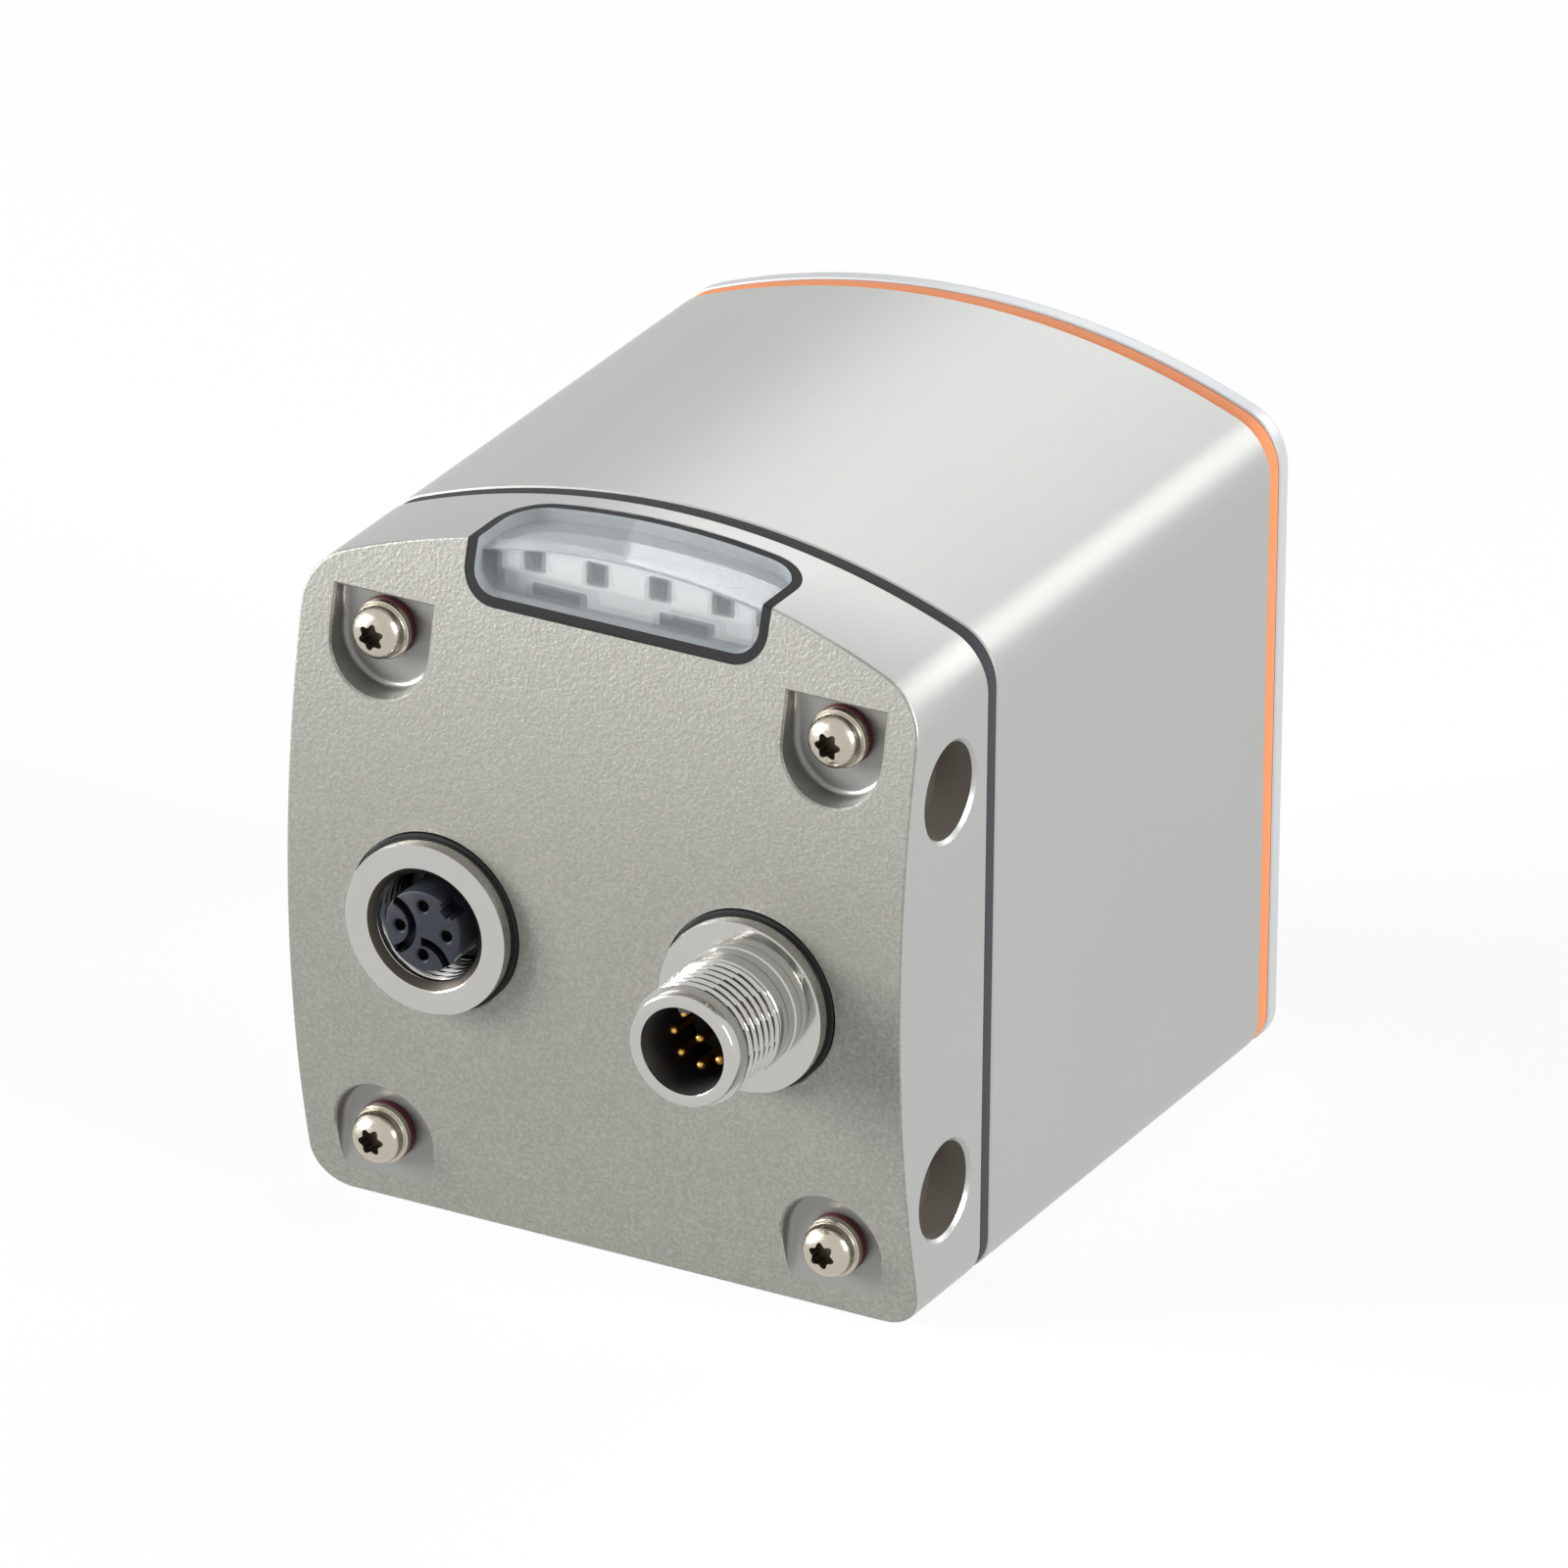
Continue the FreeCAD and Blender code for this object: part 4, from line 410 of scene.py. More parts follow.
def rod(radius, low, high):
    """Profile of a plain rod."""
    return [(0, low), (radius, low), (radius, high), (0, high)]


def offsets(radius, along, *steps):
    """Profile points at steps, in millimetres, from a radius and a place along the axis."""
    return [(radius + out * MM, along + on * MM) for out, on in steps]


def softened(points, radius, closed=False, steps=3):
    """Polygon with each corner rounded, by at most a third of its shorter side."""
    result = []
    count = len(points)
    for place, (u, v) in enumerate(points):
        if not closed and place in (0, count - 1):
            result.append((u, v))
            continue
        before = Vector(points[place - 1]) - Vector((u, v))
        after = Vector(points[(place + 1) % count]) - Vector((u, v))
        reach = min(radius, before.length / 3, after.length / 3)
        start = Vector((u, v)) + before.normalized() * reach
        stop = Vector((u, v)) + after.normalized() * reach
        for step in range(steps + 1):
            part = step / steps
            point = start * (1 - part) ** 2 + Vector((u, v)) * 2 * part * (1 - part) + stop * part ** 2
            result.append(tuple(point))
    return result


def extruded(name, points, low, high, axis="Y"):
    """Prism of an outline, along Y from XZ points, along Z from XY points or along X from YZ points."""
    if axis == "Y":
        rings = [[(u, along, v) for u, v in points] for along in (low, high)]
    elif axis == "Z":
        rings = [[(u, v, along) for u, v in points] for along in (low, high)]
    else:
        rings = [[(along, u, v) for u, v in points] for along in (low, high)]
    return lofted(name, rings)


def carve(piece, tool, operation="DIFFERENCE"):
    """Cut, intersect or unite a piece with a tool, which is then removed."""
    modifier = piece.modifiers.new("Carve", "BOOLEAN")
    modifier.operation = operation
    modifier.solver = "EXACT"
    modifier.object = tool
    graph = bpy.context.evaluated_depsgraph_get()
    mesh = bpy.data.meshes.new_from_object(piece.evaluated_get(graph))
    piece.modifiers.clear()
    piece.data = mesh
    bpy.data.objects.remove(tool)
    return piece


def united(name, pieces):
    """One object that holds several separate meshes."""
    sketch = bmesh.new()
    for piece in pieces:
        sketch.from_mesh(piece.data)
        bpy.data.objects.remove(piece)
    mesh = bpy.data.meshes.new(name)
    sketch.to_mesh(mesh)
    sketch.free()
    result = bpy.data.objects.new(name, mesh)
    bpy.context.scene.collection.objects.link(result)
    return result


def seat(piece, node, slot, *others):
    """Shade a finished piece, give it its finishes and let it stand for its CAD node."""
    piece.data.shade_smooth()
    piece.data.set_sharp_from_angle(angle=CRISP)
    piece.data.materials.clear()
    for name in (slot, *others):
        piece.data.materials.append(finish(name))
    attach(piece, BODY)
    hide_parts(node)
    return piece


def share(piece, rule, *sizes):
    """Give each face of a piece the finish whose number a rule returns for its centre and normal."""
    for face in piece.data.polygons:
        face.material_index = rule(face.center, face.normal, *sizes)


def add(tree, kind, inputs=None, links=None, **settings):
    """Add a node with its settings, values and incoming links."""
    item = tree.nodes.new(kind)
    for key, value in settings.items():
        setattr(item, key, value)
    for key, value in (inputs or {}).items():
        item.inputs[key].default_value = value
    for key, source in (links or {}).items():
        tree.links.new(source, item.inputs[key])
    return item


def new_material(name, colour, roughness, metallic, ior=None, values=None):
    """Material with one principled shader; returns it with its tree and shader."""
    material = bpy.data.materials.new(name)
    material.use_nodes = True
    tree = material.node_tree
    shader = tree.nodes["Principled BSDF"]
    shader.inputs["Base Color"].default_value = (*colour, 1.0)
    shader.inputs["Roughness"].default_value = roughness
    shader.inputs["Metallic"].default_value = metallic
    if ior is not None:
        shader.inputs["IOR"].default_value = ior
    for key, value in (values or {}).items():
        shader.inputs[key].default_value = value
    return material, tree, shader


def grain(tree, shader, size, depth, strength, detail=3.0, stretch=(1, 1, 1)):
    """Bump of a grain whose size and depth are given in millimetres; returns the noise."""
    place = add(tree, "ShaderNodeTexCoord")
    mapping = add(tree, "ShaderNodeMapping", {"Scale": stretch}, {"Vector": place.outputs["Object"]})
    pattern = add(tree, "ShaderNodeTexNoise", {"Scale": 1 / (size * MM), "Detail": detail, "Roughness": 0.6},
                  {"Vector": mapping.outputs["Vector"]})
    bump = add(tree, "ShaderNodeBump", {"Strength": strength, "Distance": depth * MM},
               {"Height": pattern.outputs["Fac"]})
    tree.links.new(bump.outputs["Normal"], shader.inputs["Normal"])
    return pattern


def vary(tree, shader, pattern, low, high):
    """Let the roughness follow a pattern between two limits."""
    ramp = add(tree, "ShaderNodeMapRange", {"From Min": 0.3, "From Max": 0.7, "To Min": low, "To Max": high},
               {"Value": pattern.outputs["Fac"]})
    tree.links.new(ramp.outputs["Result"], shader.inputs["Roughness"])


def tones(tree, shader, colour, low, high, source):
    """Let the colour's brightness follow a source between two shares of it."""
    dark = [part * low for part in colour]
    light = [min(1.0, part * high) for part in colour]
    mix = add(tree, "ShaderNodeMixRGB", {"Color1": (*dark, 1), "Color2": (*light, 1)}, {"Fac": source})
    tree.links.new(mix.outputs["Color"], shader.inputs["Base Color"])


def mottle(tree, shader, colour, size, spread):
    """Slow change of the colour's brightness over patches of a size in millimetres."""
    place = add(tree, "ShaderNodeTexCoord")
    pattern = add(tree, "ShaderNodeTexNoise", {"Scale": 1 / (size * MM), "Detail": 4.0},
                  {"Vector": place.outputs["Object"]})
    tones(tree, shader, colour, 1 - spread, 1 + spread, pattern.outputs["Fac"])


def dome(z, inset=0.0):
    """Place of the domed face along Y at a height."""
    sizes = bpy.context.scene.sensor_cover
    centre = COVER_LOW.y + sizes.dome_radius
    return centre - math.sqrt((sizes.dome_radius - inset) ** 2 - (z - sizes.dome_height) ** 2)


def domed(points, shift=0.0, inset=0.0):
    """Outline points laid on the domed face."""
    return [(x, dome(z, inset) + shift, z) for x, z in points]


def domed_form(name, inset=0.0, front=0.0):
    """Rear cover's outer form, crisp where the dome meets the sides, or an inset copy of it."""
    cover = bpy.context.scene.sensor_cover
    rim = bpy.context.scene.sensor_outline.rim
    edge = cover.edge_radius
    rings = [level(outline(inset + rim, *DOME_STEPS), COVER_HIGH.y + front),
             level(outline(inset, *DOME_STEPS), COVER_HIGH.y + front - rim)]
    for angle in quarter(4):
        rings.append(domed(outline(inset + edge * (1 - math.cos(angle)), *DOME_STEPS),
                           edge * (1 - math.sin(angle)), inset))
    rings.append(domed(outline(inset + edge * 2, *DOME_STEPS), 0, inset))
    return lofted(name, rings, end="rows")


def window_prism(name, rim=0.0):
    """Rounded outline of the indicator window, seen from behind and from above, as one tool."""
    window = bpy.context.scene.sensor_indicator
    half = window.half_width - rim
    low = window.bottom + rim
    high = COVER_HIGH.z + 5 * PAST
    far = COVER_HIGH.y - window.front - rim
    near = COVER_LOW.y - 5 * PAST
    corner = window.low_corner - rim
    rear_points = [(half, high), (-half, high)]
    rear_points += arc(-half + corner, low + corner, corner, HALF_TURN, 1.5 * HALF_TURN, 12)
    rear_points += arc(half - corner, low + corner, corner, 1.5 * HALF_TURN, FULL_TURN, 12)
    corner = window.high_corner - rim
    top_points = [(-half, near), (half, near)]
    top_points += arc(half - corner, far - corner, corner, 0, HALF_TURN / 2, 12)
    top_points += arc(-half + corner, far - corner, corner, HALF_TURN / 2, HALF_TURN, 12)
    prism = extruded(name, rear_points, near, COVER_HIGH.y)
    top = extruded(name + " top", top_points, low - WELL_PAST, high + PAST, "Z")
    return carve(prism, top, "INTERSECT")


def under_roof(window, room):
    """Space behind the dome and under the window's seat on the top."""
    edge = window.depth + window.roof + room
    return arched("roof limit", [(edge, FAR_BEHIND), (edge, HOLDER_HIGH.y + 3 * MM)], LONG_STEPS)


def recess_tool(side, centre, end):
    """Screw recess: rounded end, drafted walls, filleted floor, broken edge and a straight or open end."""
    cover = bpy.context.scene.sensor_cover
    floor = COVER_HIGH.y - cover.recess_floor
    x = side * cover.recess_span / 2
    away = 1 if end > 0 else -1
    fillet = cover.recess_fillet
    lip = cover.recess_lip
    lean = math.tan(cover.recess_draft)

    def mouth(z):
        """Where the wall ends and the broken edge starts."""
        return min(dome(max(z, 0.0)) + lip, floor - fillet - lip / 2)

    def ring(grow, place_at):
        """Outline grown by a margin."""
        radius = cover.recess_radius + grow
        points = []
        for step in range(29):
            angle = HALF_TURN + HALF_TURN * step / 28
            z = centre + away * radius * math.sin(angle)
            points.append((x + radius * math.cos(angle), place_at(z), z))
        z = centre + end + away * max(grow, -fillet / 2)
        return points + [(x + radius, place_at(z), z), (x - radius, place_at(z), z)]

    rings = []
    for angle in quarter(5):
        rise = fillet * (1 - math.cos(angle))
        rings.append(ring(-fillet * (1 - math.sin(angle)), lambda z: floor - rise))
    rings.append(ring(fillet * lean, mouth))
    for grow, above in ((0.3, 0.35), (1.0, 1.0), (6.0, 6.0)):
        rings.append(ring(fillet * lean + lip * grow, lambda z: mouth(z) - lip * above))
    return lofted("Recess tool", rings)


def box_piece(name, low, high, soft=0.0, steps=2):
    """Block between two corners, with softened vertical edges."""
    corners = [(low[0], low[2]), (high[0], low[2]), (high[0], high[2]), (low[0], high[2])]
    points = softened(corners, soft, True, steps) if soft else corners
    return extruded(name, points, low[1], high[1])


def band(name, low, high, inset, soft, wall):
    """Ring of the housing's outline, with its outer edges softened."""
    steps = ((inset + soft, low), (inset + soft * 0.3, low + soft * 0.3), (inset, low + soft),
             (inset, high - soft), (inset + soft * 0.3, high - soft * 0.3), (inset + soft, high),
             (inset + wall, high), (inset + wall, low))
    return arched(name, steps, wrap=True)


def thread_rings(place, radius, depth, pitch, start, end, steps=96, rows=14):
    """Rings of a sharp thread that fades out at both ends; a negative depth cuts outwards."""
    x, _, z = place
    count = max(2, round(abs(end - start) / pitch * rows))
    rings = []
    for row in range(count + 1):
        along = start + (end - start) * row / count
        fade = min(1.0, min(row, count - row) / (rows * 0.6))
        ring = []
        for step in range(steps):
            angle = FULL_TURN * step / steps
            wave = abs(((along / pitch + step / steps) % 1.0) * 2 - 1)
            tooth = min(1.0, max(0.0, (wave - 0.12) / 0.76))
            reach = radius - depth * tooth * fade
            ring.append((x + reach * math.cos(angle), along, z + reach * math.sin(angle)))
        rings.append(ring)
    return rings


def blasted_casting():
    """Die-cast aluminium blasted with coarse grit: bright points on a grey ground, 0.4 mm apart."""
    colour = bpy.context.scene.sensor_finish.blasted
    material, tree, shader = new_material("Grit-blasted cast aluminium", colour, 0.46, 0.45)
    pattern = grain(tree, shader, 0.38, 0.055, 1.0)
    vary(tree, shader, pattern, 0.52, 0.34)
    points = add(tree, "ShaderNodeMapRange", {"From Min": 0.42, "From Max": 0.72},
                 {"Value": pattern.outputs["Fac"]})
    tones(tree, shader, colour, 0.93, 1.28, points.outputs["Result"])
    return material


def coated(name, colour, roughness, metallic, ior, patches=None, tooth=None, gloss=None, values=None):
    """Material of a table row: patches of tone, a grain, limits of roughness and other shader values."""
    settings = bpy.context.scene.sensor_finish
    colour = linear(colour) if colour.startswith("#") else getattr(settings, colour)
    material, tree, shader = new_material(name, colour, roughness, metallic, ior, values)
    if patches:
        mottle(tree, shader, colour, *patches)
    if tooth:
        pattern = grain(tree, shader, *tooth)
    if gloss:
        vary(tree, shader, pattern, *gloss)
    return material


def plain(name, code, roughness, metallic, ior, size, spread, depth):
    """Finish of a hidden piece, with patches of tone six times as wide as its grain."""
    return coated(name, code, roughness, metallic, ior, (size * 6, spread), (size, depth, 0.3))


# Finishes that show: name, colour, roughness, metallic, IOR (none for a metal), patches of tone (mm,
# spread), grain (mm, depth in mm, strength, detail, stretch), limits of roughness, other shader values.
EXPOSED = {
    # Fine-blasted and clear-anodised: broad soft highlights over a tooth that only just shows.
    "housing_metal": ("Satin anodised aluminium", "housing", 0.38, 0.7, None, (18, 0.015),
                      (0.22, 0.006, 0.25), (0.37, 0.45)),
    # Cast skin as it left the die: smoother than the blasted face, faintly uneven.
    "cast_recess": ("As-cast aluminium", "cast", 0.36, 0.6, None, (1.6, 0.04), (0.6, 0.02, 0.35, 2.0)),
    # Fine-milled: smooth and pale, with an even satin sheen.
    "cover_metal": ("Fine-milled aluminium", "machined", 0.36, 0.7, None, (12, 0.015),
                    (0.15, 0.003, 0.2, 3.0, (1, 1, 0.2)), (0.33, 0.40)),
    # Bored and left unfinished, with rings left by the tool, and darker than the cover; the bottom is darker
    # still, as painted shade.
    "bored": ("Bored aluminium", "bored", 0.5, 0.4, None, None, (0.2, 0.01, 0.4, 3.0, (6, 1, 1))),
    "bored_deep": ("Bottom of a bored hole", "bored_deep", 0.5, 0.4, None, None,
                   (0.2, 0.01, 0.4, 3.0, (6, 1, 1))),
    # Milled under the indicator window, painted pale blue-grey: painted light for the glow and reflection
    # seen through the clear plastic.
    "window_seat": ("Pale milled window seat", "seat", 0.6, 0.1, None, (2, 0.04),
                    (0.3, 0.004, 0.3, 3.0, (8, 1, 1))),
    # Powder-coated plate: pale and even, with a very fine orange-peel.
    "front_metal": ("Pale powder coat", "front", 0.38, 0.4, 1.5, (15, 0.01), (0.5, 0.008, 0.2)),
    # Moulded silicone: dull, soft and slightly translucent.
    "orange_rubber": ("Orange silicone", "orange", 0.55, 0.0, 1.43, (3, 0.03), (0.3, 0.01, 0.25), None,
                      {"Subsurface Weight": 0.12, "Subsurface Radius": (0.0006, 0.0003, 0.0002)}),
    # Sheet rubber: matt with a powdery tooth.
    "gasket_rubber": ("Grey sheet rubber", "gasket", 0.85, 0.0, 1.52, (0.6, 0.1), (0.25, 0.02, 0.4), None,
                      {"Specular IOR Level": 0.15}),
    # Moulded rubber: near black, with a dull sheen.
    "black_rubber": ("Moulded black rubber", "black", 0.7, 0.0, 1.52, (0.8, 0.15), (0.2, 0.015, 0.35), None,
                     {"Specular IOR Level": 0.25}),
    # Bright nickel over turned brass: warm and mirror-like, with faint turning marks.
    "nickel": ("Bright nickel plate", "nickel", 0.1, 1.0, None, (4, 0.03), (0.3, 0.002, 0.2, 3.0, (1, 8, 1)),
               (0.08, 0.16)),
    # The same plate, darkened: painted shade in the thread roots, and on the socket's chamfer painted shade
    # and a painted dark reflection.
    "dull_nickel": ("Dull nickel in thread roots", "nickel_root", 0.4, 1.0, None, (1, 0.1),
                    (0.2, 0.004, 0.3)),
    # Steel inside the screws' drive, darkened: painted shade in the recess.
    "struck_steel": ("Struck steel", "drive", 0.4, 1.0, None, (0.6, 0.15), (0.2, 0.01, 0.3)),
    # Cold-headed stainless steel: bright and a little uneven.
    "screw_steel": ("Cold-headed stainless steel", "steel", 0.22, 1.0, None, (2, 0.04), (0.5, 0.01, 0.25),
                    (0.16, 0.3)),
    # Pressed fibre: dull, with short fibres in its edge; its red is darkened further as painted shade under
    # the screw heads.
    "red_fibre": ("Pressed red fibre", "red", 0.6, 0.0, 1.5, (0.3, 0.2), (0.2, 0.02, 0.4, 3.0, (1, 5, 1))),
    # Hard gold over turned pins: warm, bright and smooth.
    "gold_contact": ("Hard gold plate", "gold", 0.22, 1.0, None, None, (0.1, 0.001, 0.2), (0.18, 0.28)),
    # Glass-filled nylon of the plug's and the socket's insert: dark, matt, with a fine moulded tooth.
    "insert_black": ("Moulded black nylon", "plug_core", 0.45, 0.0, 1.53, (0.4, 0.1), (0.15, 0.01, 0.35)),
    # The socket's insert is darkened further: painted shade on its side wall.
    "insert_grey": ("Moulded blue-grey nylon", "socket_core", 0.45, 0.0, 1.53, (0.4, 0.1),
                    (0.15, 0.01, 0.35), None, {"Specular IOR Level": 0.3}),
    # Clear moulding: glassy, faintly blue-grey, and thin enough for light to pass straight.
    "clear_window": ("Clear polycarbonate", "window", 0.06, 0.0, 1.585, None, (2.5, 0.01, 0.08),
                     (0.02, 0.05), {"Transmission Weight": 0.85, "Alpha": 0.3}),
    # Side walls of the clear window, left rough by the mould: milky grey seen through the pane.
    "milky_edge": ("Milky window edge", "edge", 0.55, 0.0, 1.585, (1.5, 0.04)),
    # White reflector plastic: bright and even, with a soft gloss.
    "white_plastic": ("White reflector plastic", "white", 0.4, 0.0, 1.57, (3, 0.02), (0.3, 0.008, 0.2)),
    # Unlit insides of the reflector's slots: grey against the white.
    "slot_shade": ("Shaded reflector plastic", "slot", 0.6, 0.0, 1.57, (0.6, 0.08)),
    # Filter glass: near black from outside, with the optics just showing behind it.
    "front_glass": ("Tinted filter glass", "glass", 0.05, 0.0, 1.52, None, (8, 0.002, 0.05), None,
                    {"Transmission Weight": 0.85, "Alpha": 0.55}),
    # Polished lens glass: clear, with a blue-green coating.
    "optic_glass": ("Coated lens glass", "#BFD8D2", 0.03, 0.0, 1.62, None, (6, 0.001, 0.03), None,
                    {"Transmission Weight": 1.0, "Coat Weight": 0.4}),
}
# Finishes inside: name, colour, roughness, metallic, IOR (none for a metal), grain (mm), change of tone,
# depth of the grain (mm). Each is even and plain, since little of it is ever seen.
HIDDEN = {
    "filter_glass": ("Interference filter glass", "#3A2A4A", 0.05, 0.0, 1.52, 3.0, 0.05, 0.001),
    "black_plastic": ("Moulded black polycarbonate", "#18181A", 0.45, 0.0, 1.58, 0.3, 0.1, 0.01),
    "diffuser": ("Opal diffuser", "#DADCE0", 0.35, 0.0, 1.49, 0.6, 0.03, 0.01),
    "board_green": ("Green solder mask", "#1E5A38", 0.3, 0.0, 1.55, 0.5, 0.08, 0.01),
    "chip_black": ("Moulded chip epoxy", "#1C1C1E", 0.5, 0.0, 1.55, 0.2, 0.08, 0.01),
    "sensor_glass": ("Imager cover glass", "#2A2438", 0.04, 0.0, 1.5, 3.0, 0.04, 0.001),
    "lamp": ("Lamp package", "#E8E4D2", 0.3, 0.0, 1.54, 0.4, 0.03, 0.004),
    "adhesive": ("Cured black adhesive", "#222224", 0.4, 0.0, 1.5, 0.6, 0.08, 0.02),
    "foam": ("Black cell foam", "#2A2A2B", 0.8, 0.0, 1.4, 0.4, 0.15, 0.06),
    "thermal_pad": ("Soft thermal pad", "#8FA3B4", 0.6, 0.0, 1.42, 0.5, 0.06, 0.02),
    "inner_aluminium": ("Extruded aluminium", "#B4B5B3", 0.35, 1.0, None, 0.4, 0.03, 0.006),
    "black_aluminium": ("Black anodised aluminium", "#1A1A1B", 0.35, 0.6, None, 0.3, 0.08, 0.004),
    "capacitor_can": ("Drawn aluminium can", "#A9ABAE", 0.25, 1.0, None, 0.6, 0.03, 0.004),
    "ribbon": ("Polyimide ribbon", "#A8682C", 0.3, 0.0, 1.6, 0.6, 0.05, 0.004),
    "header": ("Glass-filled header plastic", "#202022", 0.45, 0.0, 1.55, 0.25, 0.08, 0.01),
}
made = {}


def finish(name):
    """Material of a finish, made once."""
    if name not in made:
        if name == "blasted":
            made[name] = blasted_casting()
        elif name in EXPOSED:
            made[name] = coated(*EXPOSED[name])
        else:
            made[name] = plain(*HIDDEN[name])
    return made[name]


def flange(sizes, face, end):
    """Profile shared by both connectors, from the inner end to the flange's face."""
    edge = sizes.flange_edge
    rim = sizes.flange_radius
    back = face + sizes.flange_thickness
    return [(0, end), (sizes.neck_radius, end), (sizes.neck_radius, back), (rim - edge * 0.3, back),
            (rim, back - edge * 0.3), (rim, face + edge), (rim - edge * 0.1, face + edge * 0.45),
            (rim - edge * 0.45, face + edge * 0.1), (rim - edge, face)]


def seal_ring(name, node, inner):
    """Rubber ring under a connector's flange."""
    low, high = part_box(node)
    outer = (high.x - low.x) / 2
    profile = softened([(inner, low.y), (outer, low.y), (outer, high.y), (inner, high.y)], 0.3 * MM, True, 4)
    seat(turned(name, profile, axis_of(node), wrap=True), node, "black_rubber")


class SENSOR_OT_housing(bpy.types.Operator):
    """Housing with its arched top, walls, front bulkhead and ports"""
    bl_idname = "sensor.housing"
    bl_label = "Housing"

    def execute(self, context):
        sizes = context.scene.sensor_outline
        rear, front = HOUSING_LOW.y, HOUSING_HIGH.y
        shell = arched("housing", [(sizes.rim, rear), (0, rear + sizes.rim), (0, front - sizes.rim),
                                   (sizes.rim, front)], LONG_STEPS)
        bulkhead = front - sizes.bulkhead
        inner, outer = bulkhead - WELL_PAST, front + WELL_PAST
        carve(shell, arched("room", [(sizes.wall, rear - WELL_PAST), (sizes.wall, bulkhead)]))
        carve(shell, turned("lens port", rod(sizes.port_radius, inner, outer), axis_of("lens_barrel")))
        low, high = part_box("emitter_reflector")
        carve(shell, box_piece("light port", (low.x, inner, low.z), (high.x, outer, high.z)))
        seat(shell, "main_housing", "housing_metal")
        return {"FINISHED"}


class SENSOR_OT_rear_cover(bpy.types.Operator):
    """Rear cover: dome, screw recesses, mounting holes, connector seats and window seat"""
    bl_idname = "sensor.rear_cover"
    bl_label = "Rear cover"

    def execute(self, context):
        cover = context.scene.sensor_cover
        window = context.scene.sensor_indicator
        piece = domed_form("rear_cover_shell")
        self.hollow(piece, cover)
        floor = COVER_HIGH.y - cover.recess_floor
        hole = rod(cover.shank_radius + 0.1 * MM, floor - 2 * PAST, COVER_HIGH.y + WELL_PAST)
        for side in (1, -1):
            carve(piece, recess_tool(side, cover.recess_high, cover.recess_end))
            carve(piece, recess_tool(side, cover.recess_low, -cover.recess_low - 3 * MM))
            for height in (cover.screw_high, cover.screw_low):
                carve(piece, turned("screw hole", hole, (side * cover.screw_span / 2, 0, height), 32))
            for height in (cover.side_hole_high, cover.side_hole_low):
                carve(piece, self.side_hole(cover, side, height))
        seat_face = context.scene.sensor_connectors.spot_face
        profile = [(0, BEHIND), (cover.spot_radius, BEHIND), (cover.spot_radius, seat_face),
                   (cover.neck_radius, seat_face), (cover.neck_radius, BEHIND / 2), (0, BEHIND / 2)]
        for node in ("power_plug_shell", "network_socket_shell"):
            carve(piece, turned("connector seat", profile, axis_of(node)))
        notch = window_prism("window seat")
        carve(notch, domed_form("window floor", window.depth, WELL_PAST))
        carve(piece, notch)
        opening = window_prism("window opening", window.rim - window.under)
        carve(opening, under_roof(window, 0), "INTERSECT")
        carve(piece, opening)
        seat(piece, "rear_cover", "cover_metal", "blasted", "cast_recess", "bored", "bored_deep",
             "window_seat")
        share(piece, self.finish_at, cover, window)
        self.even_dome(piece, cover)
        return {"FINISHED"}

    def hollow(self, piece, cover):
        """Cut the inner space behind the dome."""
        for half, low, high in ((cover.cavity_half, cover.cavity_low, cover.cavity_high),
                                (cover.span_half, cover.span_low, cover.span_high)):
            points = [(COVER_HIGH.y + 2 * PAST, high), (COVER_HIGH.y + 2 * PAST, low)]
            for step in range(25):
                height = low + (high - low) * step / 24
                points.append((max(dome(height, cover.wall), cover.nut_seat), height))
            carve(piece, extruded("room", points, -half, half, "X"))

    def side_hole(self, cover, side, height):
        """Blind mounting hole with a chamfered mouth."""
        face = side * COVER_HIGH.x
        inner = face - side * cover.side_hole_depth
        break_edge = cover.side_hole_chamfer
        radius = cover.side_hole_radius
        profile = [(0, inner), (radius, inner), (radius, face - side * break_edge),
                   (radius + break_edge * 2, face + side * break_edge), (0, face + side * break_edge)]
        return turned("side hole", profile, (0, COVER_HIGH.y - cover.side_hole_set, height), axis="X")

    def finish_at(self, centre, normal, cover, window):
        """Number of a place's finish: 0 milled, 1 blasted, 2 cast recess, 3 bored, 4 bored with painted
        shade at the bottom, 5 window seat with painted light.
        """
        across = abs(centre.x)
        near = cover.recess_radius * 1.1
        beside = abs(across - cover.recess_span / 2) < near
        by_recess = beside and (centre.z > cover.recess_high - near or centre.z < cover.recess_low + near)
        depth = COVER_HIGH.x - across
        set_back = centre.y - COVER_HIGH.y + cover.side_hole_set
        in_hole = 0.5 * MM < depth < cover.side_hole_depth + 0.1 * MM and any(
            math.hypot(set_back, centre.z - height) < cover.side_hole_radius + 0.05 * MM
            for height in (cover.side_hole_high, cover.side_hole_low))
        crown = COVER_HIGH.z - across ** 2 / (2 * bpy.context.scene.sensor_outline.top_radius)
        behind = centre.y - dome(centre.z)
        if in_hole:
            # 4 is a hole's bottom, with painted shade.
            return 4 if abs(normal.x) > 0.9 else 3
        # 5 is the window seat, with painted light.
        if (across < window.half_width and window.bottom < centre.z < crown - 0.7 * MM
                and behind > 0.5 * MM and centre.y < COVER_HIGH.y - window.front):
            return 5
        if normal.y < -0.55 and abs(behind) < 0.25 * MM:
            return 1
        return 2 if by_recess and centre.y < COVER_HIGH.y - cover.recess_floor + 0.1 * MM else 0

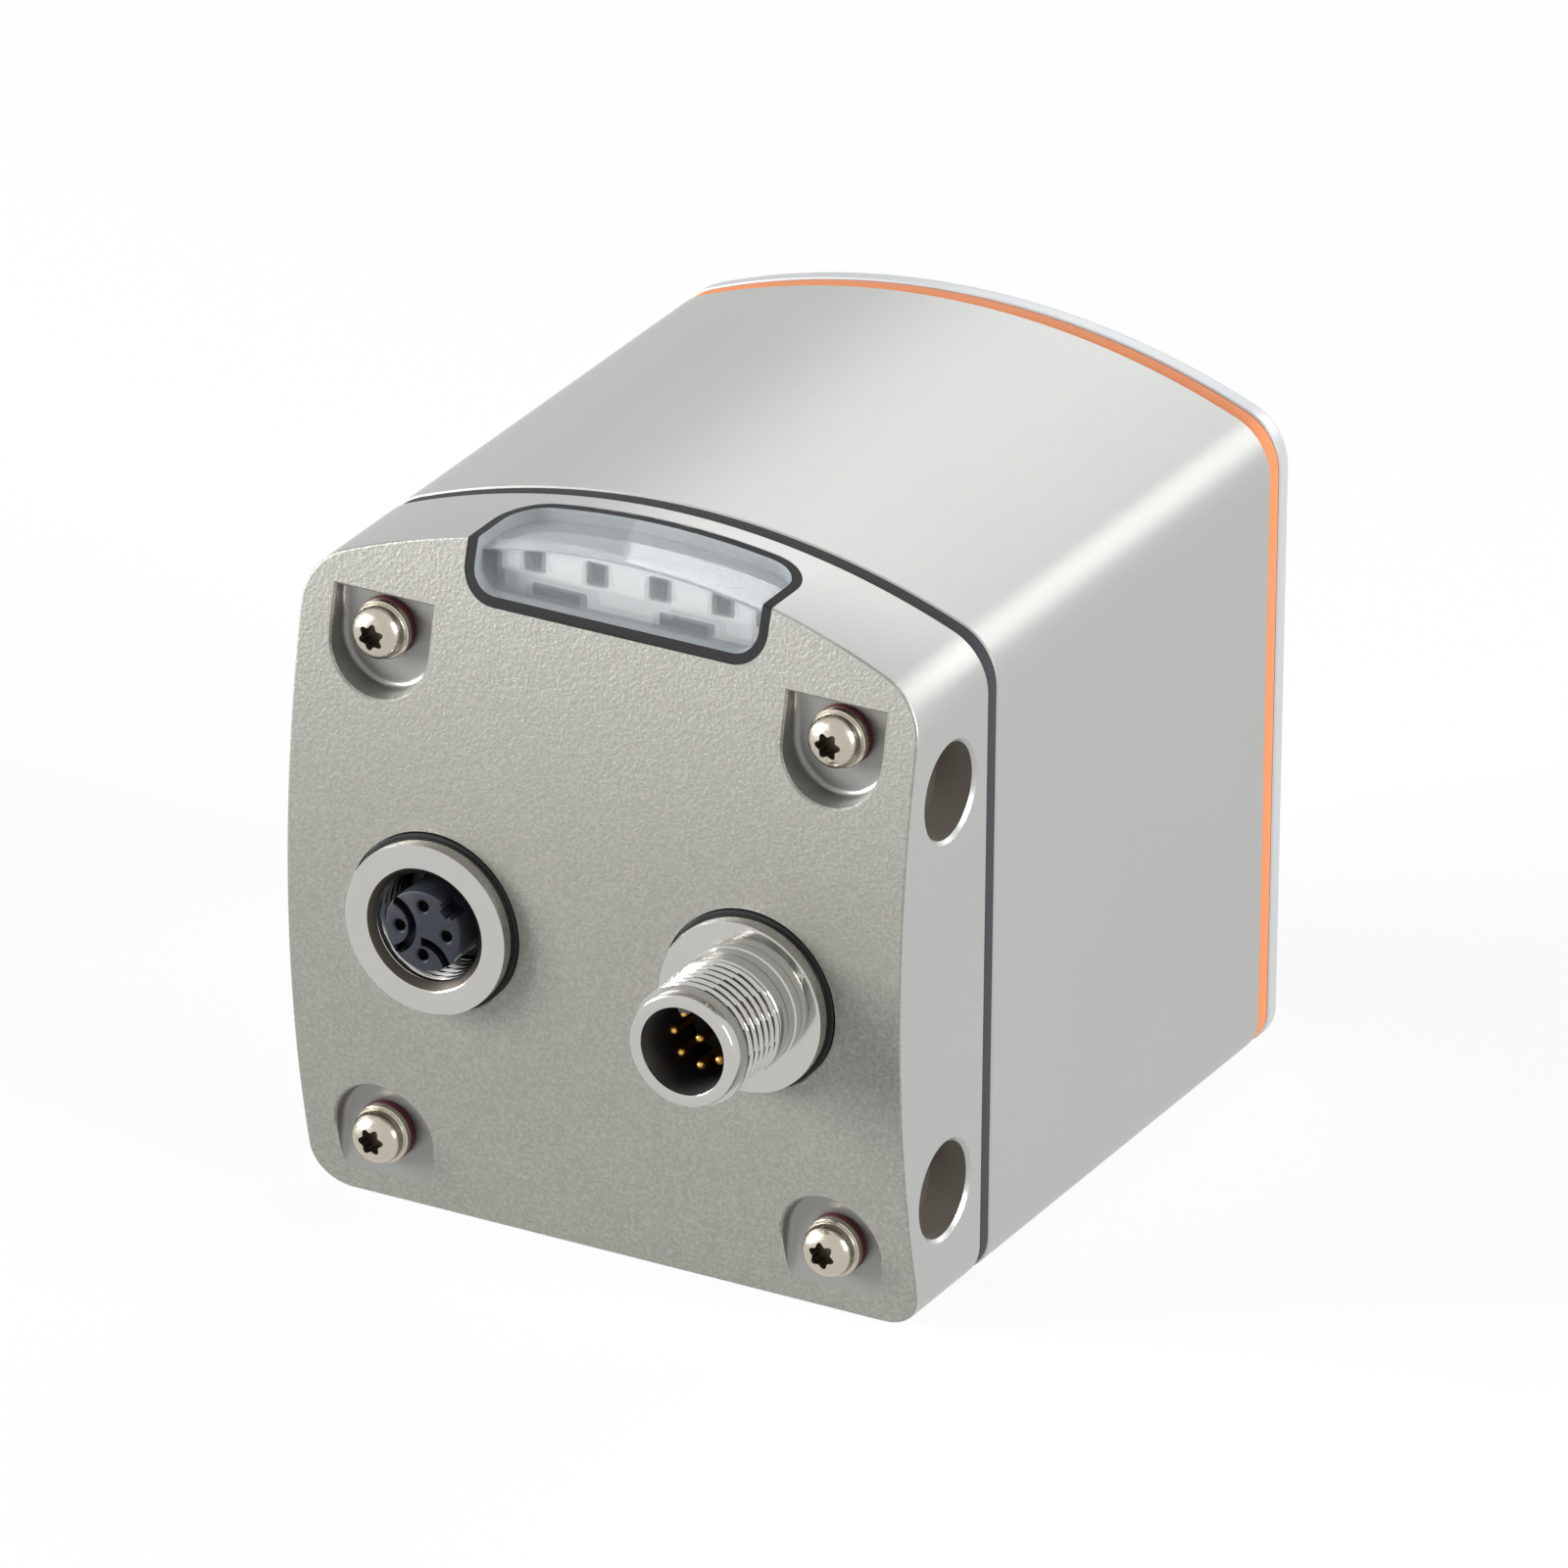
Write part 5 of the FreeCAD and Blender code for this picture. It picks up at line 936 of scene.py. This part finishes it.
    def even_dome(self, piece, cover):
        """Give the dome's faces the normals of its true curve, so that cuts in it leave no streaks."""
        mesh = piece.data
        axis = Vector((0, COVER_LOW.y + cover.dome_radius, cover.dome_height))
        normals = [Vector(corner.vector) for corner in mesh.corner_normals]
        for face in mesh.polygons:
            across = (face.center - axis) * Vector((0, 1, 1))
            if face.normal.dot(across.normalized()) < cover.same_way:
                continue
            for corner in face.loop_indices:
                place = mesh.vertices[mesh.loops[corner].vertex_index].co
                normals[corner] = ((place - axis) * Vector((0, 1, 1))).normalized()
        mesh.normals_split_custom_set(normals)


class SENSOR_OT_gaskets(bpy.types.Operator):
    """Grey gasket behind the housing and orange ring before it"""
    bl_idname = "sensor.gaskets"
    bl_label = "Gaskets"

    def execute(self, context):
        sizes = context.scene.sensor_outline
        wall = sizes.wall - 0.2 * MM
        gasket = band("rear_seal", GASKET_LOW.y, GASKET_HIGH.y, sizes.gasket_inset, 0.15 * MM, wall)
        seat(gasket, "rear_gasket", "gasket_rubber")
        ring = band("front_seal", SEAL_LOW.y, SEAL_HIGH.y, sizes.seal_inset, 0.25 * MM, wall)
        seat(ring, "front_seal_ring", "orange_rubber")
        return {"FINISHED"}


class SENSOR_OT_front_cover(bpy.types.Operator):
    """Front cover with its rounded rim, and the tinted glass in it"""
    bl_idname = "sensor.front_cover"
    bl_label = "Front cover"

    def execute(self, context):
        sizes = context.scene.sensor_outline
        rim = sizes.front_rim
        rear = SEAL_HIGH.y
        steps = [(sizes.wall, FRONT_LOW.y), (sizes.wall, rear), (sizes.rim, rear), (0, rear + sizes.rim)]
        for angle in quarter(6):
            steps.append((rim * (1 - math.cos(angle)), FRONT_HIGH.y - rim + rim * math.sin(angle)))
        piece = arched("front_plate", steps, LONG_STEPS)
        room, ledge, bond, bevel = 0.1 * MM, 2 * MM, 0.3 * MM, 0.2 * MM
        carve(piece, self.pane("glass seat", (-room, GLASS_LOW.y - bond), (-room, FRONT_HIGH.y + 2 * PAST)))
        carve(piece, self.pane("light opening", (ledge, FRONT_LOW.y - 2 * PAST),
                               (ledge, FRONT_HIGH.y + PAST)))
        seat(piece, "front_cover", "front_metal")
        glass = self.pane("front_pane", (0, GLASS_LOW.y), (0, GLASS_HIGH.y - bevel), (bevel, GLASS_HIGH.y))
        seat(glass, "front_glass", "front_glass")
        return {"FINISHED"}

    def pane(self, name, *steps):
        """Skin through the glass's rounded rectangle at (inset, distance along Y) steps."""
        rings = []
        for inset, y in steps:
            half = GLASS_HIGH.x - inset
            low, high = GLASS_LOW.z + inset, GLASS_HIGH.z - inset
            corners = [(half, low), (half, high), (-half, high), (-half, low)]
            rings.append(level(softened(corners, 3 * MM, True, 8), y))
        return lofted(name, rings)


class SENSOR_OT_rear_screws(bpy.types.Operator):
    """Four pan-head screws on red sealing washers"""
    bl_idname = "sensor.rear_screws"
    bl_label = "Rear screws"

    def execute(self, context):
        cover = context.scene.sensor_cover
        screws = []
        washers = []
        for number, (side, height) in enumerate(((1, cover.screw_high), (-1, cover.screw_high),
                                                 (1, cover.screw_low), (-1, cover.screw_low))):
            place = (side * cover.screw_span / 2, 0, height)
            screws.append(self.screw(cover, place, number * 0.37))
            washers.append(self.washer(cover, place))
        heads = united("cover_screws", screws)
        seat(heads, "rear_screws", "screw_steel", "struck_steel")
        share(heads, self.in_drive, cover)
        seat(united("red_washers", washers), "sealing_washers", "red_fibre")
        return {"FINISHED"}

    def in_drive(self, centre, normal, cover):
        """1 inside a screw's drive, which gets painted shade."""
        height = cover.screw_high if centre.z > COVER_HIGH.z / 2 else cover.screw_low
        radius = math.hypot(abs(centre.x) - cover.screw_span / 2, centre.z - height)
        sunk = 0.25 * MM < centre.y - SCREW_LOW.y < cover.lobe_depth + 0.1 * MM
        return int(sunk and radius < cover.lobe_radius + cover.lobe_swing + 0.02 * MM)

    def screw(self, cover, place, twist):
        """One screw: crowned head with a six-lobe recess, washer face and shank."""
        top = SCREW_LOW.y
        collar = top + cover.head_height
        under = collar + cover.collar_height
        crown = cover.head_height * 0.85
        power = 2 / 2.6
        profile = []
        for angle in quarter(12):
            profile.append((cover.head_radius * math.sin(angle) ** power,
                            top + crown * (1 - math.cos(angle) ** power)))
        profile += offsets(cover.head_radius, collar, (0, -0.08), (0.06, 0))
        profile += offsets(cover.collar_radius, collar, (-0.12, 0), (0, 0.12))
        profile += offsets(cover.collar_radius, under, (0, -0.1), (-0.1, 0))
        profile += [(cover.shank_radius, under), (cover.shank_radius, SCREW_HIGH.y), (0, SCREW_HIGH.y)]
        screw = turned("screw", profile, place, 64)
        points = []
        for step in range(96):
            turned_by = FULL_TURN * step / 96
            radius = cover.lobe_radius + cover.lobe_swing * math.cos(6 * turned_by)
            points.append((place[0] + radius * math.cos(turned_by + twist),
                           place[2] + radius * math.sin(turned_by + twist)))
        return carve(screw, extruded("six lobes", points, top - PAST, top + cover.lobe_depth))

    def washer(self, cover, place):
        """One sealing washer."""
        low, high = WASHER_LOW.y, WASHER_HIGH.y
        profile = softened([(cover.shank_radius, low), (cover.washer_radius, low),
                            (cover.washer_radius, high), (cover.shank_radius, high)], 0.15 * MM, True)
        return turned("washer", profile, place, 64, wrap=True)


class SENSOR_OT_indicator(bpy.types.Operator):
    """Clear window that wraps over the cover's upper edge, its gasket and the white holder behind it"""
    bl_idname = "sensor.indicator"
    bl_label = "Indicator window"

    def execute(self, context):
        window = context.scene.sensor_indicator
        pane = self.skin("indicator_pane", window, window.rim + 0.02 * MM)
        seat(pane, "indicator_window", "clear_window", "milky_edge")
        share(pane, self.on_side_wall, window)
        gasket = self.skin("indicator_seal", window, 0)
        carve(gasket, window_prism("inner edge", window.rim))
        self.ripple(gasket, window)
        seat(gasket, "indicator_gasket", "black_rubber")
        holder = self.holder(window)
        seat(holder, "indicator_holder", "white_plastic", "slot_shade")
        share(holder, self.in_slot, window)
        return {"FINISHED"}

    def skin(self, name, window, rim):
        """Patch of the cover's outer skin inside the window outline."""
        patch = domed_form(name, window.sink)
        carve(patch, window_prism("outline", rim), "INTERSECT")
        return carve(patch, domed_form("inner skin", window.depth - 0.03 * MM, WELL_PAST))

    def on_side_wall(self, centre, normal, window):
        """1 on the pane's side walls."""
        inset = window.rim + 0.6 * MM
        under = normal.z < -0.5 and centre.z < window.bottom + inset
        behind = normal.y > 0.5 and centre.y > COVER_HIGH.y - window.front - inset
        return int(abs(normal.x) > 0.5 or under or behind)

    def ripple(self, gasket, window):
        """Push the gasket's outer edge in and out a little, as pressed-in rubber lies."""
        sketch = bmesh.new()
        sketch.from_mesh(gasket.data)
        bmesh.ops.triangulate(sketch, faces=sketch.faces)
        long_edges = [edge for edge in sketch.edges if edge.calc_length() > 1.2 * MM]
        bmesh.ops.subdivide_edges(sketch, edges=long_edges, cuts=6, use_grid_fill=False)
        inner = Vector((0, (COVER_LOW.y + COVER_HIGH.y) / 2, COVER_HIGH.z - 6 * MM))
        side = window.half_width - window.rim / 2
        low = window.bottom + window.rim / 2
        far = COVER_HIGH.y - window.front - window.rim / 2
        for vert in sketch.verts:
            if abs(vert.co.x) > side or vert.co.z < low or vert.co.y > far:
                push = noise.noise(vert.co / window.ripple_grain) * window.ripple
                vert.co += (inner - vert.co).normalized() * abs(push)
        sketch.to_mesh(gasket.data)
        sketch.free()

    def holder(self, window):
        """White holder: a face with four slots, and a set-back part with two openings under it."""
        roof = COVER_HIGH.z - window.depth - window.roof
        top = (HOLDER_HIGH.x, HOLDER_HIGH.y, roof)
        piece = box_piece("indicator_reflector", HOLDER_LOW, top, 0.2 * MM)
        carve(piece, under_roof(window, 0.03 * MM), "INTERSECT")
        face = HOLDER_LOW.y
        ledge = roof - window.face_height
        carve(piece, box_piece("set-back", (HOLDER_LOW.x - MM, face - MM, HOLDER_LOW.z - MM),
                               (HOLDER_HIGH.x + MM, face + window.set_back, ledge)))
        slot = (window.slot_width, window.slot_height, window.slot_depth, 0.3 * MM)
        for number in range(4):
            self.notch(piece, (number - 1.5) * window.pitch, ledge + window.slot_gap, *slot)
        low = ledge - window.opening_gap - window.opening_height
        depth = window.set_back + window.slot_depth
        opening = (window.opening_width, window.opening_height, depth, 0.2 * MM)
        for x in (window.opening_left, window.opening_right):
            self.notch(piece, x, low, *opening)
        return piece

    def notch(self, piece, x, low, width, height, depth, soft):
        """Cut a slot or an opening into the holder's face."""
        face = HOLDER_LOW.y
        carve(piece, box_piece("notch", (x - width / 2, face - MM, low),
                               (x + width / 2, face + depth, low + height), soft))

    def in_slot(self, centre, normal, window):
        """1 on the floors of slots and openings."""
        behind = centre.y - HOLDER_LOW.y
        on_floor = abs(behind - window.slot_depth) < 0.02 * MM or behind > window.set_back + 0.1 * MM
        return int(normal.y < -0.9 and on_floor)


class SENSOR_OT_power_plug(bpy.types.Operator):
    """Threaded eight-pin plug with its insert, pins and seal"""
    bl_idname = "sensor.power_plug"
    bl_label = "Power plug"

    def execute(self, context):
        sizes = context.scene.sensor_connectors
        place = axis_of("power_plug_shell")
        tip = PLUG_LOW.y
        core = PLUG_CORE_LOW.y
        face = sizes.flange_face
        bore = sizes.bore_radius
        crest = sizes.thread_radius
        groove = face - sizes.groove_set
        body = flange(sizes, face, PLUG_HIGH.y) + offsets(crest, face, (0.15, 0), (0, -0.15))
        body += offsets(crest, groove, (0, 0.09), (-0.14, 0.05), (-0.14, -0.05), (0, -0.09))
        head = [(sizes.tip_radius, tip + sizes.tip_length)]
        head += offsets(sizes.tip_radius, tip, (0, 0.25), (-0.08, 0.08), (-0.25, 0))
        head += offsets(bore, tip, (0.2, 0), (0.06, 0.06), (0, 0.2))
        head += [(bore, core + 0.3 * MM), (0, core + 0.3 * MM)]
        thread = thread_rings(place, crest, sizes.thread_depth, sizes.pitch, tip + sizes.thread_end,
                              tip + sizes.tip_length)
        shell = lofted("plug_shell", rings_of(body, place) + thread + rings_of(head, place))
        key = self.key(sizes, place, tip, core)
        plug = united("plug_body", [shell, key])
        seat(plug, "power_plug_shell", "nickel", "dull_nickel", "insert_black")

        def plating(centre, normal):
            """1 in the thread's roots, with painted shade, 2 inside the bore and 0 elsewhere."""
            radius = math.hypot(centre.x - place[0], centre.z - place[2])
            if radius < bore + 0.05 * MM and centre.y > tip + 0.3 * MM:
                return 2
            in_thread = tip + sizes.tip_length < centre.y < tip + sizes.thread_end
            return int(in_thread and radius < crest - 0.28 * MM)

        share(plug, plating)
        profile = [(0, core), *offsets(bore, core, (-0.25, 0), (-0.03, 0.2), (-0.03, 0.28)),
                   (0, core + 0.28 * MM)]
        insert = turned("plug_insert", profile, place)
        seat(insert, "power_plug_insert", "insert_black")
        seat(self.pins(sizes, place), "power_plug_pins", "gold_contact")
        seal_ring("plug_seal", "power_plug_seal", sizes.neck_radius)
        return {"FINISHED"}

    def key(self, sizes, place, tip, core):
        """Coding key along the bore."""
        half = sizes.key_width / 2
        inner = sizes.bore_radius - sizes.key_height
        outer = sizes.bore_radius + 0.1 * MM
        points = []
        for along, across in softened([(outer, -half), (outer, half), (inner, half), (inner, -half)],
                                      0.25 * MM, True):
            turned_by = Matrix.Rotation(sizes.key_angle, 2) @ Vector((along, across))
            points.append((place[0] + turned_by.x, place[2] + turned_by.y))
        return extruded("coding key", points, tip + 0.7 * MM, core + 0.1 * MM)

    def pins(self, sizes, place):
        """Middle pin and its ring of pins, each with a domed end."""
        spots = [place]
        for number in range(sizes.outer_pins):
            angle = sizes.key_angle + sizes.pin_step * (number + 0.75)
            spots.append((place[0] + sizes.pin_circle * math.cos(angle), 0,
                          place[2] + sizes.pin_circle * math.sin(angle)))
        pins = []
        radius = sizes.pin_radius
        for spot in spots:
            profile = [(radius * math.sin(angle), PINS_LOW.y + radius * (1 - math.cos(angle)))
                       for angle in quarter(6)]
            profile += [(radius, PINS_HIGH.y), (0, PINS_HIGH.y)]
            pins.append(turned("pin", profile, spot, 32))
        return united("plug_pins", pins)


class SENSOR_OT_network_socket(bpy.types.Operator):
    """Socket with its inner thread, slotted insert and seal"""
    bl_idname = "sensor.network_socket"
    bl_label = "Network socket"

    def execute(self, context):
        sizes = context.scene.sensor_connectors
        place = axis_of("network_socket_shell")
        face = SOCKET_LOW.y
        bottom = face + sizes.well_depth
        minor = sizes.minor_radius
        body = flange(sizes, face, SOCKET_HIGH.y)
        body += offsets(sizes.mouth_radius, face, (0, 0), (-0.12, 0.08))
        body += offsets(minor, face, (0.05, 0.8))
        thread = thread_rings(place, minor, -sizes.thread_depth, sizes.pitch, face + 0.85 * MM,
                              bottom - 1.2 * MM)
        well = [(minor, bottom - 1.15 * MM), (minor, bottom), (0, bottom)]
        shell = lofted("socket_body", rings_of(body, place) + thread + rings_of(well, place))
        seat(shell, "network_socket_shell", "nickel", "dull_nickel")

        def plating(centre, normal):
            """1 on the chamfer and in the thread's roots: painted shade, and on the chamfer a painted dark
            reflection.
            """
            radius = math.hypot(centre.x - place[0], centre.z - place[2])
            behind = centre.y - face
            in_root = behind > 0.9 * MM and radius > minor - 0.02 * MM and normal.y > -0.3
            return int(radius < sizes.mouth_radius and (0.1 * MM < behind < 0.8 * MM or in_root))

        # The darker nickel on chamfer and roots is painted shade.
        share(shell, plating)
        seat(self.insert(sizes, place, bottom), "network_socket_insert", "insert_grey")
        seal_ring("socket_seal", "network_socket_seal", sizes.neck_radius)
        return {"FINISHED"}

    def insert(self, sizes, place, bottom):
        """Insert with four contact openings, two curved slots and a stepped key notch."""
        face = CORE_LOW.y
        radius = sizes.core_radius
        end = bottom - 0.01 * MM
        profile = [(0, face), *offsets(radius, face, (-0.2, 0), (-0.06, 0.06), (0, 0.2)), (radius, end),
                   (0, end)]
        piece = turned("socket_core", profile, place)
        bore = sizes.contact_bore
        sleeve = sizes.contact_radius + 0.05 * MM
        profile = [(0, face - PAST), *offsets(bore, face, (0.18, -0.02), (0, 0.16)), (bore, CONTACT_LOW.y),
                   (sleeve, CONTACT_LOW.y), (sleeve, bottom + PAST), (0, bottom + PAST)]
        for number in range(4):
            angle = HALF_TURN / 2 * number
            spot = (place[0] + sizes.contact_circle * math.cos(angle), 0,
                    place[2] + sizes.contact_circle * math.sin(angle))
            carve(piece, turned("contact hole", profile, spot, 32))
        for across, up, start, end in ((-sizes.slot_set, 0, -72, 76), (0, -sizes.slot_set, 14, 94)):
            centre = (place[0] + across, place[2] + up)
            carve(piece, self.curved_slot(sizes, centre, math.radians(start), math.radians(end), face))
        high = radius + 0.5 * MM
        for depth, half in ((1.0, 0.5 * MM), (0.55, 0.95 * MM)):
            low = radius - depth * MM
            points = []
            for along, across in ((low, -half), (high, -half), (high, half), (low, half)):
                spot = Matrix.Rotation(math.radians(45), 2) @ Vector((along, across))
                points.append((place[0] + spot.x, place[2] + spot.y))
            carve(piece, extruded("key notch", points, face - PAST, face + 2.2 * MM))
        return piece

    def curved_slot(self, sizes, centre, start, end, face):
        """Tool for a slot that curves round a contact."""
        half = sizes.slot_width / 2
        inner = arc(centre[0], centre[1], sizes.slot_radius - half, start, end, 16)
        outer = arc(centre[0], centre[1], sizes.slot_radius + half, start, end, 16)
        return extruded("curved slot", inner + list(reversed(outer)), face - PAST, face + 1.5 * MM)


class SENSOR_OT_inner_parts(bpy.types.Operator):
    """Finishes of the boards, optics and fasteners inside"""
    bl_idname = "sensor.inner_parts"
    bl_label = "Inner parts"

    def execute(self, context):
        slots = {part["node"]: part["material_slot"] for part in frame["record"]["subparts"]}
        for name, item in frame["nodes"].items():
            if item.hide_render:
                continue
            item.data.materials.clear()
            item.data.materials.append(finish(slots[name]))
        return {"FINISHED"}


# Width of the camera's sensor in millimetres, and how far it sees in metres.
SENSOR_WIDTH = 36
CLIP_END = 20
# Lamps: name, place and size in metres, and power in watts.
LAMPS = (("Shoulder softbox", (0.75, 1.6, 0.95), 1.1, 10.2), ("Rear softbox", (-0.5, 1.6, 1.1), 0.9, 5.0),
         ("Left softbox", (-1.2, -0.8, 0.4), 0.8, 42.0), ("Right softbox", (1.4, -0.1, 0.6), 0.8, 25.0))


class SENSOR_OT_stage(bpy.types.Operator):
    """Pale floor, soft lamps, white surround and the camera"""
    bl_idname = "sensor.stage"
    bl_label = "Stage"

    def execute(self, context):
        stage = context.scene.sensor_stage
        half = stage.floor_half
        low = -2 * PAST
        floor = extruded("floor", [(-half, low), (half, low), (half, 0), (-half, 0)], -half, half)
        floor.data.materials.append(self.floor_paint())
        for lamp in LAMPS:
            self.lamp(*lamp)
        self.surround(context)
        self.camera(context, stage)
        context.scene.view_settings.view_transform = "Standard"
        return {"FINISHED"}

    def backdrop_rays(self, tree):
        """1 for rays that should see the white backdrop: camera, glossy and transmission rays."""
        path = add(tree, "ShaderNodeLightPath")
        total = path.outputs["Is Camera Ray"]
        for kind in ("Is Glossy Ray", "Is Transmission Ray"):
            total = add(tree, "ShaderNodeMath", None, {0: total, 1: path.outputs[kind]},
                        operation="MAXIMUM").outputs["Value"]
        return total

    def floor_paint(self):
        """Matt white studio paper, seen as white, that keeps a soft shadow."""
        colour = bpy.context.scene.sensor_finish.floor
        material, tree, shader = new_material("Matt studio paper", colour, 0.9, 0.0, 1.5)
        mottle(tree, shader, colour, 40, 0.004)
        glow = add(tree, "ShaderNodeEmission", {"Color": (1, 1, 1, 1), "Strength": 1.0})
        part = add(tree, "ShaderNodeMath", {1: bpy.context.scene.sensor_stage.glow},
                   {0: self.backdrop_rays(tree)}, operation="MULTIPLY")
        mix = add(tree, "ShaderNodeMixShader", None,
                  {0: part.outputs["Value"], 1: shader.outputs["BSDF"], 2: glow.outputs["Emission"]})
        tree.links.new(mix.outputs["Shader"], tree.nodes["Material Output"].inputs["Surface"])
        return material

    def surround(self, context):
        """World that is white to the camera and in reflections, and a soft grey light otherwise."""
        world = bpy.data.worlds.new("Studio")
        context.scene.world = world
        world.use_nodes = True
        tree = world.node_tree
        low = context.scene.sensor_stage.ambient
        strength = add(tree, "ShaderNodeMapRange", {"To Min": low, "To Max": 1.0},
                       {"Value": self.backdrop_rays(tree)})
        background = tree.nodes["Background"]
        background.inputs["Color"].default_value = (1, 1, 1, 1)
        tree.links.new(strength.outputs["Result"], background.inputs["Strength"])

    def lamp(self, name, place, size, power):
        """Square softbox that faces the object."""
        light = bpy.data.lights.new(name, "AREA")
        light.shape = "SQUARE"
        light.size = size
        light.energy = power
        item = bpy.data.objects.new(name, light)
        item.location = place
        aim = middle(*CAD_BOX) - Vector(place)
        item.rotation_euler = aim.to_track_quat("-Z", "Y").to_euler()
        bpy.context.scene.collection.objects.link(item)

    def camera(self, context, stage):
        """Camera at the photograph's place: long lens, rolled by half a degree."""
        turn_by, rise = stage.azimuth, stage.elevation
        level_part = math.cos(rise)
        back = Vector((math.sin(turn_by) * level_part, -math.cos(turn_by) * level_part, math.sin(rise)))
        right = Vector((math.cos(turn_by), math.sin(turn_by), 0))
        up = back.cross(right)
        right, up = (right * math.cos(stage.roll) + up * math.sin(stage.roll),
                     up * math.cos(stage.roll) - right * math.sin(stage.roll))
        data = bpy.data.cameras.new("Camera")
        data.lens = stage.lens
        data.sensor_width = SENSOR_WIDTH
        data.clip_end = CLIP_END
        item = bpy.data.objects.new("Camera", data)
        axes = Matrix((right, up, back)).transposed().to_4x4()
        item.matrix_world = Matrix.Translation(Vector(stage.target) + back * stage.distance) @ axes
        context.scene.collection.objects.link(item)
        context.scene.camera = item


PIECES = (SENSOR_OT_housing, SENSOR_OT_rear_cover, SENSOR_OT_gaskets, SENSOR_OT_front_cover,
          SENSOR_OT_rear_screws, SENSOR_OT_indicator, SENSOR_OT_power_plug, SENSOR_OT_network_socket,
          SENSOR_OT_inner_parts, SENSOR_OT_stage)


class SENSOR_PT_panel(bpy.types.Panel):
    """Sidebar panel that lists the sensor's pieces"""
    bl_idname = "SENSOR_PT_panel"
    bl_label = "Depth vision sensor"
    bl_space_type = "VIEW_3D"
    bl_region_type = "UI"
    bl_category = "Sensor"

    def draw(self, context):
        for piece in PIECES:
            self.layout.operator(piece.bl_idname)


SETTINGS = {"sensor_outline": SensorOutline, "sensor_cover": SensorCover,
            "sensor_connectors": SensorConnectors, "sensor_indicator": SensorIndicator,
            "sensor_stage": SensorStage, "sensor_finish": SensorFinish}


def register():
    """Register settings, operators and panel."""
    for item in (*SETTINGS.values(), *PIECES, SENSOR_PT_panel):
        bpy.utils.register_class(item)
    for name, group in SETTINGS.items():
        setattr(bpy.types.Scene, name, PointerProperty(type=group))


def unregister():
    """Take settings, operators and panel away again."""
    for name in SETTINGS:
        delattr(bpy.types.Scene, name)
    for item in (SENSOR_PT_panel, *reversed(PIECES), *SETTINGS.values()):
        bpy.utils.unregister_class(item)


def main():
    """Register the settings and make every piece."""
    register()
    for piece in PIECES:
        group, name = piece.bl_idname.split(".")
        getattr(getattr(bpy.ops, group), name)()


if __name__ == "__main__":
    main()
